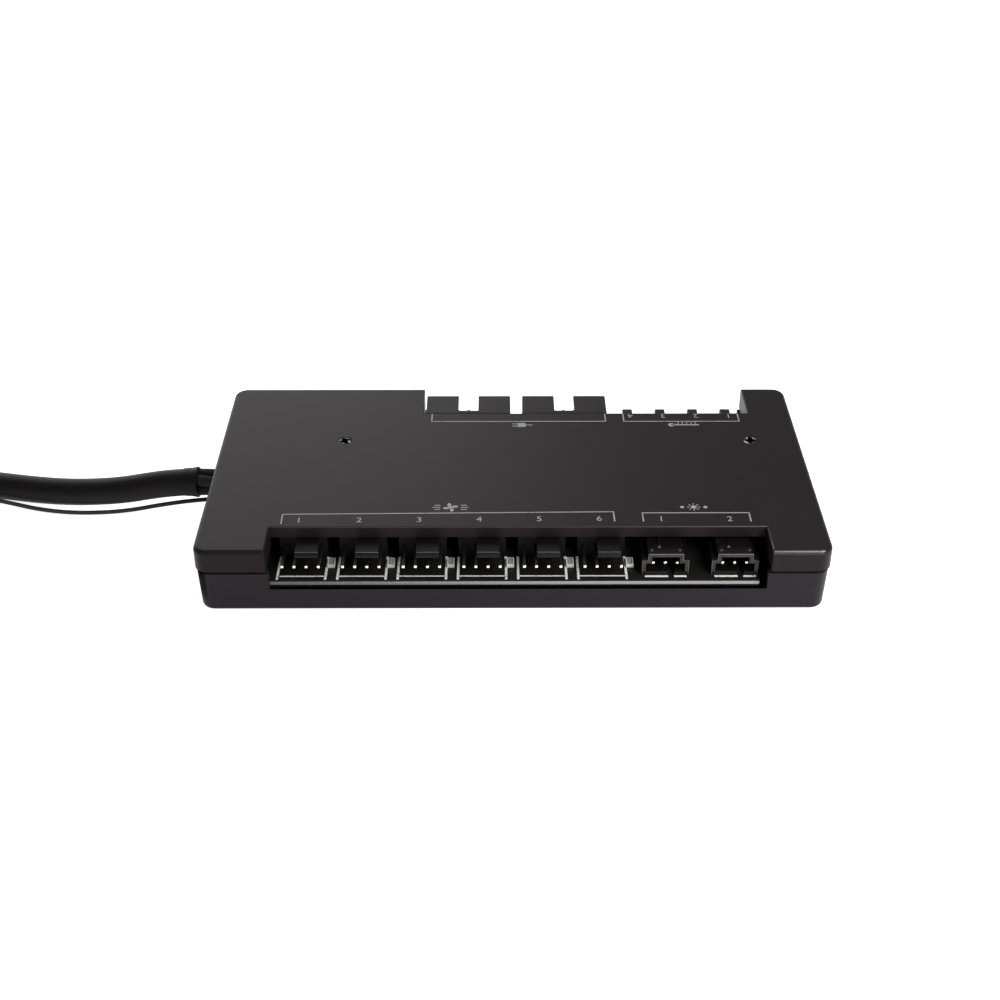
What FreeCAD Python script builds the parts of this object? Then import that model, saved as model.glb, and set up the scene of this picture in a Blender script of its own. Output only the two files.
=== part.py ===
import FreeCAD, Part
import math
import os
import re

import Sketcher
from FreeCAD import Placement, Rotation, Vector

# A lighting and fan controller box: a shallow plastic tray and cover round one circuit board.
# Six fan sockets and two light sockets face the front (-Y), two data sockets and four sensor
# sockets face the rear (+Y), and a power lead leaves the left wall (-X).
# Millimetres, +Z up, origin at the middle of the underside.

FAN_HEADERS = 6
FAN_PINS = 4
LED_HEADERS = 2
LED_PINS = 3
DATA_HEADERS = 2
DATA_COLUMNS = 5
TEMP_HEADERS = 4
TEMP_PINS = 2
LEAD_WIRES = 4
PLUG_CONTACTS = 15
CORD_SIDES = 12

# Driving dimensions, one per row of the sheet
SIZES = {
    # Housing
    "case_depth": 69.0,
    "corner_radius": 3.0,
    "left_end": 15.0,
    "right_end": 12.8,
    "rear_right_end": 10.3,
    "seam_height": 10.3,
    "seam_gap": 0.7,
    "cover_wall": 1.1,
    "cover_roof": 1.8,
    "cover_edge_radius": 1.0,
    "tray_step": 0.25,
    "tray_inset": 0.55,
    "tray_wall": 1.6,
    "tray_floor": 1.8,
    "tray_edge_radius": 1.0,
    "rim_rise": 1.2,
    "rim_gap": 0.1,
    # Connector bays
    "front_bay_depth": 9.2,
    "rear_bay_depth": 12.1,
    "bay_wall": 1.5,
    "bay_lip": 2.7,
    "bay_edge_radius": 0.3,
    "sill_drop": 0.75,
    "sill_margin": 0.45,
    "front_left_margin": 1.82,
    "front_right_margin": 1.97,
    "rear_left_margin": 0.63,
    "rear_right_margin": 1.81,
    # Circuit board
    "board_thickness": 1.6,
    "board_seat": 5.1,
    "board_gap": 0.2,
    "relief_margin": 1.8,
    "relief_width": 2.4,
    "relief_depth": 6.0,
    "post_diameter": 4.0,
    "post_inset": 4.5,
    # Pins and sockets in general
    "pin_pitch": 2.54,
    "pin_width": 0.64,
    "pin_fit": 0.02,
    "leg_gap": 0.12,
    "leg_setback": 1.6,
    "leg_tail": 1.2,
    "header_gap": 2.54,
    "roof_gap": 0.2,
    # Fan and sensor sockets with a locking tongue
    "lock_height": 5.9,
    "lock_base_depth": 3.2,
    "lock_pin_height": 3.1,
    "lock_pin_reach": 8.1,
    "tongue_reach": 7.1,
    "tongue_thickness": 1.1,
    "tongue_catch": 0.5,
    "fan_tongue_width": 4.9,
    "fan_setback": 2.5,
    "temp_tongue_width": 2.3,
    "temp_setback": 3.7,
    "temp_gap": 2.77,
    # Light sockets
    "row_gap": 3.2,
    "led_gap": 4.75,
    "led_width": 9.9,
    "led_top_width": 7.5,
    "led_height": 5.75,
    "led_shoulder": 4.15,
    "led_depth": 9.5,
    "led_wall": 0.85,
    "led_back": 1.6,
    "led_setback": 3.75,
    "led_pin_height": 2.5,
    "led_pin_inset": 0.9,
    "led_notch": 1.3,
    "led_rib_inset": 0.85,
    "led_rib_width": 0.5,
    "led_rib_height": 0.3,
    "led_rib_start": 1.3,
    "led_rib_end": 2.6,
    # Data sockets
    "data_gap": 2.86,
    "data_temp_gap": 2.87,
    "data_width": 20.0,
    "data_height": 8.7,
    "data_depth": 8.3,
    "data_wall": 1.1,
    "data_back": 1.8,
    "data_setback": 3.6,
    "data_pin_inset": 0.9,
    "key_width": 4.7,
    "key_length": 7.0,
    # Cover screws
    "screw_left": 28.3,
    "screw_right": 11.4,
    "screw_back": 9.9,
    "screw_shank": 1.8,
    "screw_head": 3.0,
    "screw_head_height": 1.2,
    "screw_recess": 1.6,
    "screw_gap": 0.2,
    "screw_bite": 2.6,
    "boss_diameter": 5.6,
    # Parts on the board
    "fuse_length": 3.2,
    "fuse_width": 1.6,
    "fuse_height": 0.8,
    "fuse_setback": 3.0,
    "chip_side": 10.0,
    "chip_height": 1.4,
    "hub_side": 7.0,
    "hub_height": 1.0,
    "hub_offset": 16.0,
    "driver_length": 4.9,
    "driver_width": 3.9,
    "driver_height": 1.5,
    "driver_setback": 3.2,
    "shifter_length": 8.7,
    "crystal_length": 11.0,
    "crystal_width": 4.7,
    "crystal_height": 3.5,
    "crystal_offset": 15.0,
    "coil_side": 7.3,
    "coil_height": 4.2,
    "coil_offset": 34.0,
    "can_diameter": 6.3,
    "can_height": 5.6,
    "can_pitch": 7.6,
    "can_offset": 35.0,
    # Power lead where it passes the wall
    "lead_across": 4.6,
    "lead_rise": 0.4,
    "lead_core": 5.3,
    "lead_hole_gap": 0.1,
    "lead_stub": 4.5,
    "lead_room": 8.4,
    "core_inside": 6.9,
    "wire_diameter": 1.1,
    "wire_pitch": 1.15,
    "wire_landing": 6.0,
    "stop_tie_place": 4.1,
    "stop_tie_width": 2.0,
    "stop_tie_band": 1.0,
    "stop_tie_head": 3.4,
    "stray_hole": 1.6,
    "stray_across": 2.35,
    "stray_height": 4.5,
    # Power lead outside, its coil and its plug
    "sleeve_diameter": 6.3,
    "stray_diameter": 1.0,
    "coil_radius": 35.0,
    "coil_layers": 2.0,
    "coil_edge": 1.4,
    "coil_tie_band": 0.8,
    "coil_tie_width": 5.0,
    "coil_tie_gap": 0.15,
    "band_wall": 0.5,
    "band_length": 5.0,
    "band_gap": 0.05,
    "band_place": 7.6,
    "plug_width": 24.0,
    "plug_height": 6.4,
    "plug_length": 14.0,
    "plug_tail_width": 18.0,
    "plug_tail_length": 8.0,
    "plug_edge": 0.6,
    "slot_width": 21.4,
    "slot_height": 2.2,
    "slot_depth": 9.0,
    "slot_key": 1.6,
    "slot_rise": 1.6,
    "contact_pitch": 1.27,
    "contact_width": 0.84,
    "contact_thickness": 0.3,
    "contact_length": 7.0,
}

# Places worked out from the driving dimensions
BOARD_TOP = "(board_seat + board_thickness)"
CLEAR_TOP = f"({BOARD_TOP} + max(lock_height; led_height) + roof_gap)"
CASE_HEIGHT = f"({CLEAR_TOP} + bay_lip)"
ROOF_UNDER = f"({CASE_HEIGHT} - cover_roof)"
FAN_WIDTH = f"({FAN_PINS} * pin_pitch)"
FAN_STEP = f"({FAN_WIDTH} + header_gap)"
FAN_ROW = f"({FAN_HEADERS} * {FAN_STEP} - header_gap)"
LED_STEP = "(led_width + led_gap)"
LED_ROW = f"({LED_HEADERS} * {LED_STEP} - led_gap)"
FRONT_BAY = f"(front_left_margin + {FAN_ROW} + row_gap + {LED_ROW} + front_right_margin)"
CASE_LENGTH = f"(left_end + {FRONT_BAY} + right_end)"
HALF_LENGTH = f"({CASE_LENGTH} / 2)"
HALF_DEPTH = "(case_depth / 2)"
FRONT_LEFT = f"(left_end - {HALF_LENGTH})"
FRONT_RIGHT = f"({HALF_LENGTH} - right_end)"
FAN_START = f"({FRONT_LEFT} + front_left_margin)"
LED_START = f"({FAN_START} + {FAN_ROW} + row_gap)"
TEMP_WIDTH = f"({TEMP_PINS} * pin_pitch)"
TEMP_STEP = f"({TEMP_WIDTH} + temp_gap)"
TEMP_ROW = f"({TEMP_HEADERS} * {TEMP_STEP} - temp_gap)"
DATA_STEP = "(data_width + data_gap)"
DATA_ROW = f"({DATA_HEADERS} * {DATA_STEP} - data_gap)"
REAR_RIGHT = f"({HALF_LENGTH} - rear_right_end)"
TEMP_START = f"({REAR_RIGHT} - rear_right_margin - {TEMP_ROW})"
DATA_START = f"({TEMP_START} - data_temp_gap - {DATA_ROW})"
REAR_LEFT = f"({DATA_START} - rear_left_margin)"
FRONT_BAY_BACK = f"(front_bay_depth - {HALF_DEPTH})"
REAR_BAY_BACK = f"({HALF_DEPTH} - rear_bay_depth)"
INNER = "(tray_step + tray_wall)"
INNER_LENGTH = f"({HALF_LENGTH} - {INNER})"
INNER_DEPTH = f"({HALF_DEPTH} - {INNER})"
RIM_OUTER = "(cover_wall + rim_gap)"
TRAY_HEIGHT = "(seam_height - seam_gap)"
SILL = f"({BOARD_TOP} - sill_drop)"
BOARD_LEFT = f"(lead_room - {INNER_LENGTH})"
BOARD_RIGHT = f"({INNER_LENGTH} - board_gap)"
BOARD_REACH = f"({INNER_DEPTH} - board_gap)"
FAN_FACE = f"(fan_setback + lock_pin_reach - {HALF_DEPTH})"
TEMP_FACE = f"({HALF_DEPTH} - temp_setback - lock_pin_reach)"
LOCK_LEG = "(lock_base_depth + leg_setback)"
LED_FACE = f"(led_setback - {HALF_DEPTH})"
LED_LEG = "(led_depth + leg_setback)"
DATA_FACE = f"({HALF_DEPTH} - data_setback)"
DATA_LEG = "(data_depth + leg_setback)"
SCREW_LEFT = f"(screw_left - {HALF_LENGTH})"
SCREW_RIGHT = f"({HALF_LENGTH} - screw_right)"
SCREW_BORE = "(screw_shank + 2 * screw_gap)"
WIRE_HEIGHT = f"({BOARD_TOP} + wire_diameter / 2)"
LEAD_HEIGHT = f"({WIRE_HEIGHT} + lead_rise)"
LEAD_HOLE = "(lead_core + 2 * lead_hole_gap)"
COIL_FLOOR = "(coil_tie_band + coil_tie_gap)"

# Middle of the coil that the spare lead lies in
COIL_CENTRE = Vector(-184.0, -6.0, 0.0)
# Where the lead enters and leaves the coil, where its strap sits and where the plug lies
COIL_ENTRY_ANGLE = 50.0
COIL_EXIT_ANGLE = 280.0
STRAP_ANGLE = 160.0
PLUG_START = Vector(-136.0, -46.0, 0.0)

doc = FreeCAD.newDocument("controller_box")
sheet = doc.addObject("Spreadsheet::Sheet", "Sizes")
for row, (alias, number) in enumerate(SIZES.items(), 1):
    sheet.set(f"A{row}", alias)
    sheet.set(f"B{row}", str(number))
    sheet.setAlias(f"B{row}", alias)
doc.recompute()

parts = []


def bound(text):
    """The expression with every size read from the sheet."""
    def read(word):
        return f"Sizes.{word.group()}" if word.group() in SIZES else word.group()
    return re.sub(r"[a-z_]+", read, text)


def new_body(label):
    """A body that becomes one sub-part of the controller."""
    body = doc.addObject("PartDesign::Body", label)
    body.Label = label
    parts.append(body)
    return body


def origin_feature(body, role):
    """One of the body's own base planes or axes."""
    return next(feature for feature in body.Origin.OriginFeatures if feature.Role == role)


def place(item, across="0", along="0", up="0", turn=0.0):
    """Set the sub-part's place by expressions and its turn about the vertical in degrees."""
    item.Placement = Placement(Vector(), Rotation(Vector(0, 0, 1), turn))
    for axis, text in zip("xyz", (across, along, up)):
        item.setExpression(f"Placement.Base.{axis}", bound(text))


def sketch_on(body, name, role, offset="0"):
    """A sketch on one of the body's base planes, moved along that plane's normal."""
    sketch = body.newObject("Sketcher::SketchObject", name)
    sketch.AttachmentSupport = [(origin_feature(body, role), "")]
    sketch.MapMode = "FlatFace"
    sketch.setExpression("AttachmentOffset.Base.z", bound(offset))
    return sketch


def hold_point(sketch, geometry, point, start, across, up):
    """Tie a sketch point's two distances from the origin to expressions."""
    for kind, value, text in (("DistanceX", start.x, across), ("DistanceY", start.y, up)):
        index = sketch.addConstraint(Sketcher.Constraint(kind, -1, 1, geometry, point, value))
        sketch.setExpression(f"Constraints[{index}]", bound(text))


def outline(sketch, corners):
    """A closed outline of straight lines through corners given as pairs of expressions."""
    count = len(corners)
    first = sketch.GeometryCount
    turns = [2 * math.pi * index / count for index in range(count)]
    start = [Vector(math.cos(turn), math.sin(turn), 0) for turn in turns]
    for index in range(count):
        sketch.addGeometry(Part.LineSegment(start[index], start[(index + 1) % count]), False)
    for index in range(count):
        following = first + (index + 1) % count
        sketch.addConstraint(Sketcher.Constraint("Coincident", first + index, 2, following, 1))
    for index, (across, up) in enumerate(corners):
        hold_point(sketch, first + index, 1, start[index], across, up)


def rectangle(sketch, left, right, low, high):
    """A rectangle between two limits across and two limits up."""
    outline(sketch, [(left, low), (right, low), (right, high), (left, high)])


def circle(sketch, across, up, diameter):
    """A circle whose centre and diameter are expressions."""
    start = Vector(1, 1, 0)
    geometry = sketch.addGeometry(Part.Circle(start, Vector(0, 0, 1), 1.0), False)
    hold_point(sketch, geometry, 3, start, across, up)
    index = sketch.addConstraint(Sketcher.Constraint("Diameter", geometry, 2.0))
    sketch.setExpression(f"Constraints[{index}]", bound(diameter))


def pad(body, name, sketch, length, against=False, both_ways=False):
    """Material along the sketch's normal, against it, or half each way."""
    feature = body.newObject("PartDesign::Pad", name)
    feature.Profile = sketch
    feature.setExpression("Length", bound(length))
    feature.Reversed = against
    if both_ways:
        feature.SideType = "Symmetric"
    return feature


def pocket(body, name, sketch, length, along=False):
    """Cut against the sketch's normal, or along it, and make sure that material went."""
    doc.recompute()
    before = body.Tip.Shape.Volume
    feature = body.newObject("PartDesign::Pocket", name)
    feature.Profile = sketch
    feature.setExpression("Length", bound(length))
    feature.Reversed = along
    doc.recompute()
    if not feature.Shape.Volume < before:
        raise RuntimeError(f"{body.Label}: {name} cuts nothing")
    return feature


def row_of(body, name, features, axis, count, span):
    """Repeat features in a row that is as long as the span."""
    pattern = body.newObject("PartDesign::LinearPattern", name)
    pattern.Originals = features
    pattern.Direction = (origin_feature(body, axis), [""])
    pattern.Occurrences = count
    pattern.setExpression("Length", bound(span))
    body.Tip = pattern
    return pattern


def round_edges(body, name, radius, chosen):
    """Round those edges of the body so far that the test chooses."""
    doc.recompute()
    base = body.Tip
    names = [f"Edge{number}" for number, edge in enumerate(base.Shape.Edges, 1) if chosen(edge)]
    feature = body.newObject("PartDesign::Fillet", name)
    feature.Base = (base, names)
    feature.setExpression("Radius", bound(radius))
    return feature


def is_upright(edge):
    """True for an edge that runs straight up the walls."""
    return edge.BoundBox.ZLength > 0.9 * edge.Length


def runs_along(edge):
    """True for an edge that runs straight along X."""
    return abs(edge.BoundBox.XLength - edge.Length) < 1e-6


def lies_at(edge, height):
    """True for an edge that lies level at a height."""
    tiny = 1e-4
    return abs(edge.BoundBox.ZMin - height) < tiny and abs(edge.BoundBox.ZMax - height) < tiny


def within(edge, box):
    """True for an edge whose ends lie in a box seen from above."""
    tiny = 1e-4
    return all(
        box.XMin - tiny < vertex.X < box.XMax + tiny and box.YMin - tiny < vertex.Y < box.YMax + tiny
        for vertex in edge.Vertexes
    )


def base_tray():
    """Lower shell: drafted walls, a locating rim, low sills in both bays, posts and bosses."""
    body = new_body("base_tray")
    brim_length = f"({HALF_LENGTH} - tray_step)"
    brim_depth = f"({HALF_DEPTH} - tray_step)"
    brim = sketch_on(body, "tray_brim", "XY_Plane", TRAY_HEIGHT)
    rectangle(brim, f"-{brim_length}", brim_length, f"-{brim_depth}", brim_depth)
    block = pad(body, "tray_block", brim, TRAY_HEIGHT, against=True)
    doc.recompute()
    walls = body.newObject("PartDesign::Draft", "tray_draft")
    sides = [number for number, face in enumerate(block.Shape.Faces, 1) if face.BoundBox.ZLength > 1.0]
    walls.Base = (block, [f"Face{number}" for number in sides])
    walls.NeutralPlane = (brim, [""])
    walls.setExpression("Angle", bound(f"atan((tray_inset - tray_step) / {TRAY_HEIGHT})"))
    doc.recompute()
    if not walls.Shape.Volume < block.Shape.Volume:
        walls.Reversed = True
    round_edges(body, "tray_corners", "corner_radius", is_upright)
    round_edges(body, "tray_foot_edge", "tray_edge_radius", lambda edge: lies_at(edge, 0.0))

    hollow = sketch_on(body, "tray_hollow_outline", "XY_Plane", "tray_floor")
    rectangle(hollow, f"-{INNER_LENGTH}", INNER_LENGTH, f"-{INNER_DEPTH}", INNER_DEPTH)
    pocket(body, "tray_hollow", hollow, TRAY_HEIGHT, along=True)

    rim_length = f"({HALF_LENGTH} - {RIM_OUTER})"
    rim_depth = f"({HALF_DEPTH} - {RIM_OUTER})"
    rim = sketch_on(body, "tray_rim_outline", "XY_Plane", TRAY_HEIGHT)
    rectangle(rim, f"-{rim_length}", rim_length, f"-{rim_depth}", rim_depth)
    rectangle(rim, f"-{INNER_LENGTH}", INNER_LENGTH, f"-{INNER_DEPTH}", INNER_DEPTH)
    pad(body, "tray_rim", rim, "seam_gap + rim_rise")
    doc.recompute()
    corners = rim.Shape.BoundBox

    def is_rim_corner(edge):
        middle = edge.CenterOfMass
        far_out = min(corners.XMax - abs(middle.x), corners.YMax - abs(middle.y))
        near_out = max(corners.XMax - abs(middle.x), corners.YMax - abs(middle.y))
        return is_upright(edge) and abs(far_out) < 1e-4 and abs(near_out) < 1e-4

    round_edges(body, "tray_rim_corners", f"corner_radius - {RIM_OUTER}", is_rim_corner)

    bays = (
        ("front", FRONT_LEFT, FRONT_RIGHT, f"-({HALF_DEPTH} + tray_wall)", f"-({INNER_DEPTH} - tray_wall)"),
        ("rear", REAR_LEFT, REAR_RIGHT, f"{INNER_DEPTH} - tray_wall", f"{HALF_DEPTH} + tray_wall"),
    )
    for side, left, right, near, far in bays:
        gap = sketch_on(body, f"{side}_rim_gap_outline", "XY_Plane", TRAY_HEIGHT)
        rectangle(gap, f"{left} - bay_wall - rim_gap", f"{right} + bay_wall + rim_gap", near, far)
        pocket(body, f"{side}_rim_gap", gap, "seam_gap + rim_rise + rim_gap", along=True)
        sill = sketch_on(body, f"{side}_sill_outline", "XY_Plane", SILL)
        rectangle(sill, f"{left} + sill_margin", f"{right} - sill_margin", near, far)
        pocket(body, f"{side}_sill", sill, "seam_height", along=True)

    posts = sketch_on(body, "tray_post_outline", "XY_Plane", "tray_floor")
    post_depth = f"({BOARD_REACH} - post_inset)"
    for across in (f"{BOARD_LEFT} + post_inset", f"{BOARD_RIGHT} - post_inset"):
        circle(posts, across, f"-{post_depth}", "post_diameter")
        circle(posts, across, post_depth, "post_diameter")
    for across in (SCREW_LEFT, SCREW_RIGHT):
        circle(posts, across, "screw_back", "boss_diameter")
    pad(body, "tray_posts", posts, "board_seat - tray_floor")
    pilots = sketch_on(body, "tray_pilot_outline", "XY_Plane", "board_seat")
    for across in (SCREW_LEFT, SCREW_RIGHT):
        circle(pilots, across, "screw_back", "screw_shank")
    pocket(body, "tray_pilots", pilots, "screw_bite + screw_gap")

    wall_side = f"-({HALF_LENGTH} + tray_wall)"
    lead_side = "3 * tray_wall"
    round_notch = sketch_on(body, "lead_notch_round", "YZ_Plane", wall_side)
    circle(round_notch, "lead_across", LEAD_HEIGHT, LEAD_HOLE)
    pocket(body, "lead_notch_foot", round_notch, lead_side, along=True)
    open_notch = sketch_on(body, "lead_notch_open", "YZ_Plane", wall_side)
    rectangle(open_notch, f"lead_across - {LEAD_HOLE} / 2", f"lead_across + {LEAD_HOLE} / 2",
              LEAD_HEIGHT, f"{LEAD_HEIGHT} + seam_height")
    pocket(body, "lead_notch_mouth", open_notch, lead_side, along=True)
    stray = sketch_on(body, "stray_hole_outline", "YZ_Plane", wall_side)
    circle(stray, "stray_across", "stray_height", "stray_hole")
    pocket(body, "stray_hole", stray, lead_side, along=True)


def top_cover():
    """Upper shell: a notch over each bay, a low lip over the front sockets and two screw bosses."""
    body = new_body("top_cover")
    whole = sketch_on(body, "cover_outline", "XY_Plane", "seam_height")
    rectangle(whole, f"-{HALF_LENGTH}", HALF_LENGTH, f"-{HALF_DEPTH}", HALF_DEPTH)
    pad(body, "cover_block", whole, f"{CASE_HEIGHT} - seam_height")
    round_edges(body, "cover_corners", "corner_radius", is_upright)
    doc.recompute()
    top = body.Shape.BoundBox.ZMax
    round_edges(body, "cover_top_edge", "cover_edge_radius", lambda edge: lies_at(edge, top))

    front = sketch_on(body, "front_bay_outline", "XY_Plane", "seam_height")
    rectangle(front, FRONT_LEFT, FRONT_RIGHT, f"-({HALF_DEPTH} + cover_wall)", FRONT_BAY_BACK)
    pocket(body, "front_bay", front, CASE_HEIGHT, along=True)
    rear = sketch_on(body, "rear_bay_outline", "XY_Plane", "seam_height")
    rectangle(rear, REAR_LEFT, REAR_RIGHT, REAR_BAY_BACK, f"{HALF_DEPTH} + cover_wall")
    pocket(body, "rear_bay", rear, CASE_HEIGHT, along=True)
    notches = (front.Shape.BoundBox, rear.Shape.BoundBox)

    def is_bay_edge(edge):
        return lies_at(edge, top) and any(within(edge, notch) for notch in notches)

    round_edges(body, "bay_edges", "bay_edge_radius", is_bay_edge)

    inside_length = f"({HALF_LENGTH} - cover_wall)"
    inside_depth = f"({HALF_DEPTH} - cover_wall)"
    front_back = f"({FRONT_BAY_BACK} + bay_wall)"
    rear_back = f"({REAR_BAY_BACK} - bay_wall)"
    hollow = sketch_on(body, "cover_hollow_outline", "XY_Plane", "seam_height")
    outline(hollow, [
        (f"-{inside_length}", f"-{inside_depth}"),
        (f"{FRONT_LEFT} - bay_wall", f"-{inside_depth}"),
        (f"{FRONT_LEFT} - bay_wall", front_back),
        (f"{FRONT_RIGHT} + bay_wall", front_back),
        (f"{FRONT_RIGHT} + bay_wall", f"-{inside_depth}"),
        (inside_length, f"-{inside_depth}"),
        (inside_length, inside_depth),
        (f"{REAR_RIGHT} + bay_wall", inside_depth),
        (f"{REAR_RIGHT} + bay_wall", rear_back),
        (f"{REAR_LEFT} - bay_wall", rear_back),
        (f"{REAR_LEFT} - bay_wall", inside_depth),
        (f"-{inside_length}", inside_depth),
    ])
    pocket(body, "cover_hollow", hollow, f"{ROOF_UNDER} - seam_height", along=True)
    doc.recompute()
    inside = hollow.Shape.BoundBox

    def is_hollow_corner(edge):
        middle = edge.CenterOfMass
        short = max(inside.XMax - abs(middle.x), inside.YMax - abs(middle.y))
        return is_upright(edge) and abs(short) < 1e-4

    round_edges(body, "cover_hollow_corners", "corner_radius - cover_wall", is_hollow_corner)

    mouth = sketch_on(body, "front_mouth_outline", "XY_Plane", "seam_height")
    rectangle(mouth, FRONT_LEFT, FRONT_RIGHT, f"{FRONT_BAY_BACK} - bay_wall", f"{front_back} + bay_wall")
    pocket(body, "front_mouth", mouth, f"{CLEAR_TOP} - seam_height", along=True)
    mouth = sketch_on(body, "rear_mouth_outline", "XY_Plane", "seam_height")
    rectangle(mouth, REAR_LEFT, REAR_RIGHT, f"{rear_back} - bay_wall", f"{REAR_BAY_BACK} + bay_wall")
    pocket(body, "rear_mouth", mouth, f"{ROOF_UNDER} - seam_height", along=True)

    bosses = sketch_on(body, "cover_boss_outline", "XY_Plane", ROOF_UNDER)
    recesses = sketch_on(body, "screw_recess_outline", "XY_Plane", CASE_HEIGHT)
    bores = sketch_on(body, "screw_bore_outline", "XY_Plane", CASE_HEIGHT)
    for across in (SCREW_LEFT, SCREW_RIGHT):
        circle(bosses, across, "screw_back", "boss_diameter")
        circle(recesses, across, "screw_back", "screw_head + 2 * screw_gap")
        circle(bores, across, "screw_back", SCREW_BORE)
    pad(body, "cover_bosses", bosses, f"{ROOF_UNDER} - {BOARD_TOP}", against=True)
    pocket(body, "screw_recesses", recesses, "screw_recess")
    pocket(body, "screw_bores", bores, CASE_HEIGHT)

    lead = sketch_on(body, "cover_lead_outline", "YZ_Plane", f"-({HALF_LENGTH} + cover_wall)")
    circle(lead, "lead_across", LEAD_HEIGHT, LEAD_HOLE)
    pocket(body, "cover_lead_notch", lead, "3 * cover_wall", along=True)


def cover_screws():
    """Two screws that clamp cover, board and tray together."""
    body = new_body("cover_screws")
    seat = f"({CASE_HEIGHT} - screw_recess)"
    head_outline = sketch_on(body, "screw_head_outline", "XY_Plane", seat)
    circle(head_outline, SCREW_LEFT, "screw_back", "screw_head")
    head = pad(body, "screw_heads", head_outline, "screw_head_height")
    shank_outline = sketch_on(body, "screw_shank_outline", "XY_Plane", seat)
    circle(shank_outline, SCREW_LEFT, "screw_back", "screw_shank")
    shank = pad(body, "screw_shanks", shank_outline, f"{seat} - board_seat + screw_bite", against=True)
    row_of(body, "screw_pair", [head, shank], "X_Axis", 2, f"{SCREW_RIGHT} - {SCREW_LEFT}")


def drill_legs(body, name, places, count, step):
    """Holes for one socket's legs, repeated for each socket in its row."""
    holes = sketch_on(body, f"{name}_hole_outline", "XY_Plane", "board_seat")
    half = "(pin_width / 2 + leg_gap)"
    for across, along in places:
        rectangle(holes, f"{across} - {half}", f"{across} + {half}",
                  f"{along} - {half}", f"{along} + {half}")
    drilled = pocket(body, f"{name}_holes", holes, "board_thickness", along=True)
    row_of(body, f"{name}_hole_rows", [drilled], "X_Axis", count, f"{count - 1} * {step}")


def main_board():
    """Circuit board with screw holes, a relief slot and a fitted hole for every pin's leg."""
    body = new_body("main_board")
    edge = sketch_on(body, "board_outline", "XY_Plane", "board_seat")
    rectangle(edge, BOARD_LEFT, BOARD_RIGHT, f"-{BOARD_REACH}", BOARD_REACH)
    pad(body, "board_sheet", edge, "board_thickness")
    relief = sketch_on(body, "board_relief_outline", "XY_Plane", "board_seat")
    relief_left = f"({FRONT_RIGHT} - relief_margin)"
    rectangle(relief, relief_left, f"{relief_left} + relief_width",
              f"-({BOARD_REACH} + board_gap)", f"relief_depth - {BOARD_REACH}")
    pocket(body, "board_relief", relief, "board_thickness", along=True)
    screws = sketch_on(body, "board_screw_outline", "XY_Plane", "board_seat")
    for across in (SCREW_LEFT, SCREW_RIGHT):
        circle(screws, across, "screw_back", SCREW_BORE)
    pocket(body, "board_screw_holes", screws, "board_thickness", along=True)
    fan_legs = [
        (f"{FAN_START} + {pin + 0.5} * pin_pitch", f"{FAN_FACE} + {LOCK_LEG}")
        for pin in range(FAN_PINS)
    ]
    drill_legs(body, "fan", fan_legs, FAN_HEADERS, FAN_STEP)
    led_legs = [
        (f"{LED_START} + led_width / 2 + {pin - (LED_PINS - 1) / 2} * pin_pitch", f"{LED_FACE} + {LED_LEG}")
        for pin in range(LED_PINS)
    ]
    drill_legs(body, "led", led_legs, LED_HEADERS, LED_STEP)
    data_legs = [
        (f"{DATA_START} + data_width / 2 + {column - (DATA_COLUMNS - 1) / 2} * pin_pitch",
         f"{DATA_FACE} - {DATA_LEG} - {level} * pin_pitch")
        for level in range(2)
        for column in range(level, DATA_COLUMNS)
    ]
    drill_legs(body, "data", data_legs, DATA_HEADERS, DATA_STEP)
    temp_legs = [
        (f"{TEMP_START} + {pin + 0.5} * pin_pitch", f"{TEMP_FACE} - {LOCK_LEG}")
        for pin in range(TEMP_PINS)
    ]
    drill_legs(body, "temp", temp_legs, TEMP_HEADERS, TEMP_STEP)
    return body


def pin_holes(body, name, count, first, height, face, depth):
    """A row of square holes through a socket's back wall."""
    half = "(pin_width / 2 + pin_fit)"
    hole = sketch_on(body, f"{name}_outline", "XZ_Plane", f"-({face})")
    rectangle(hole, f"{first} - {half}", f"{first} + {half}", f"{height} - {half}", f"{height} + {half}")
    cut = pocket(body, name, hole, depth)
    row_of(body, f"{name}_row", [cut], "X_Axis", count, f"{count - 1} * pin_pitch")


def bent_pins(body, name, count, first, height, tip, leg):
    """A row of square pins that come out level and turn down through the board."""
    half = "(pin_width / 2)"
    profile = sketch_on(body, f"{name}_profile", "YZ_Plane", first)
    foot = "-(board_thickness + leg_tail)"
    outline(profile, [
        (tip, f"{height} - {half}"),
        (f"{leg} - {half}", f"{height} - {half}"),
        (f"{leg} - {half}", foot),
        (f"{leg} + {half}", foot),
        (f"{leg} + {half}", f"{height} + {half}"),
        (tip, f"{height} + {half}"),
    ])
    pin = pad(body, name, profile, "pin_width", both_ways=True)
    doc.recompute()
    row_of(body, f"{name}_row", [pin], "X_Axis", count, f"{count - 1} * pin_pitch")


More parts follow.
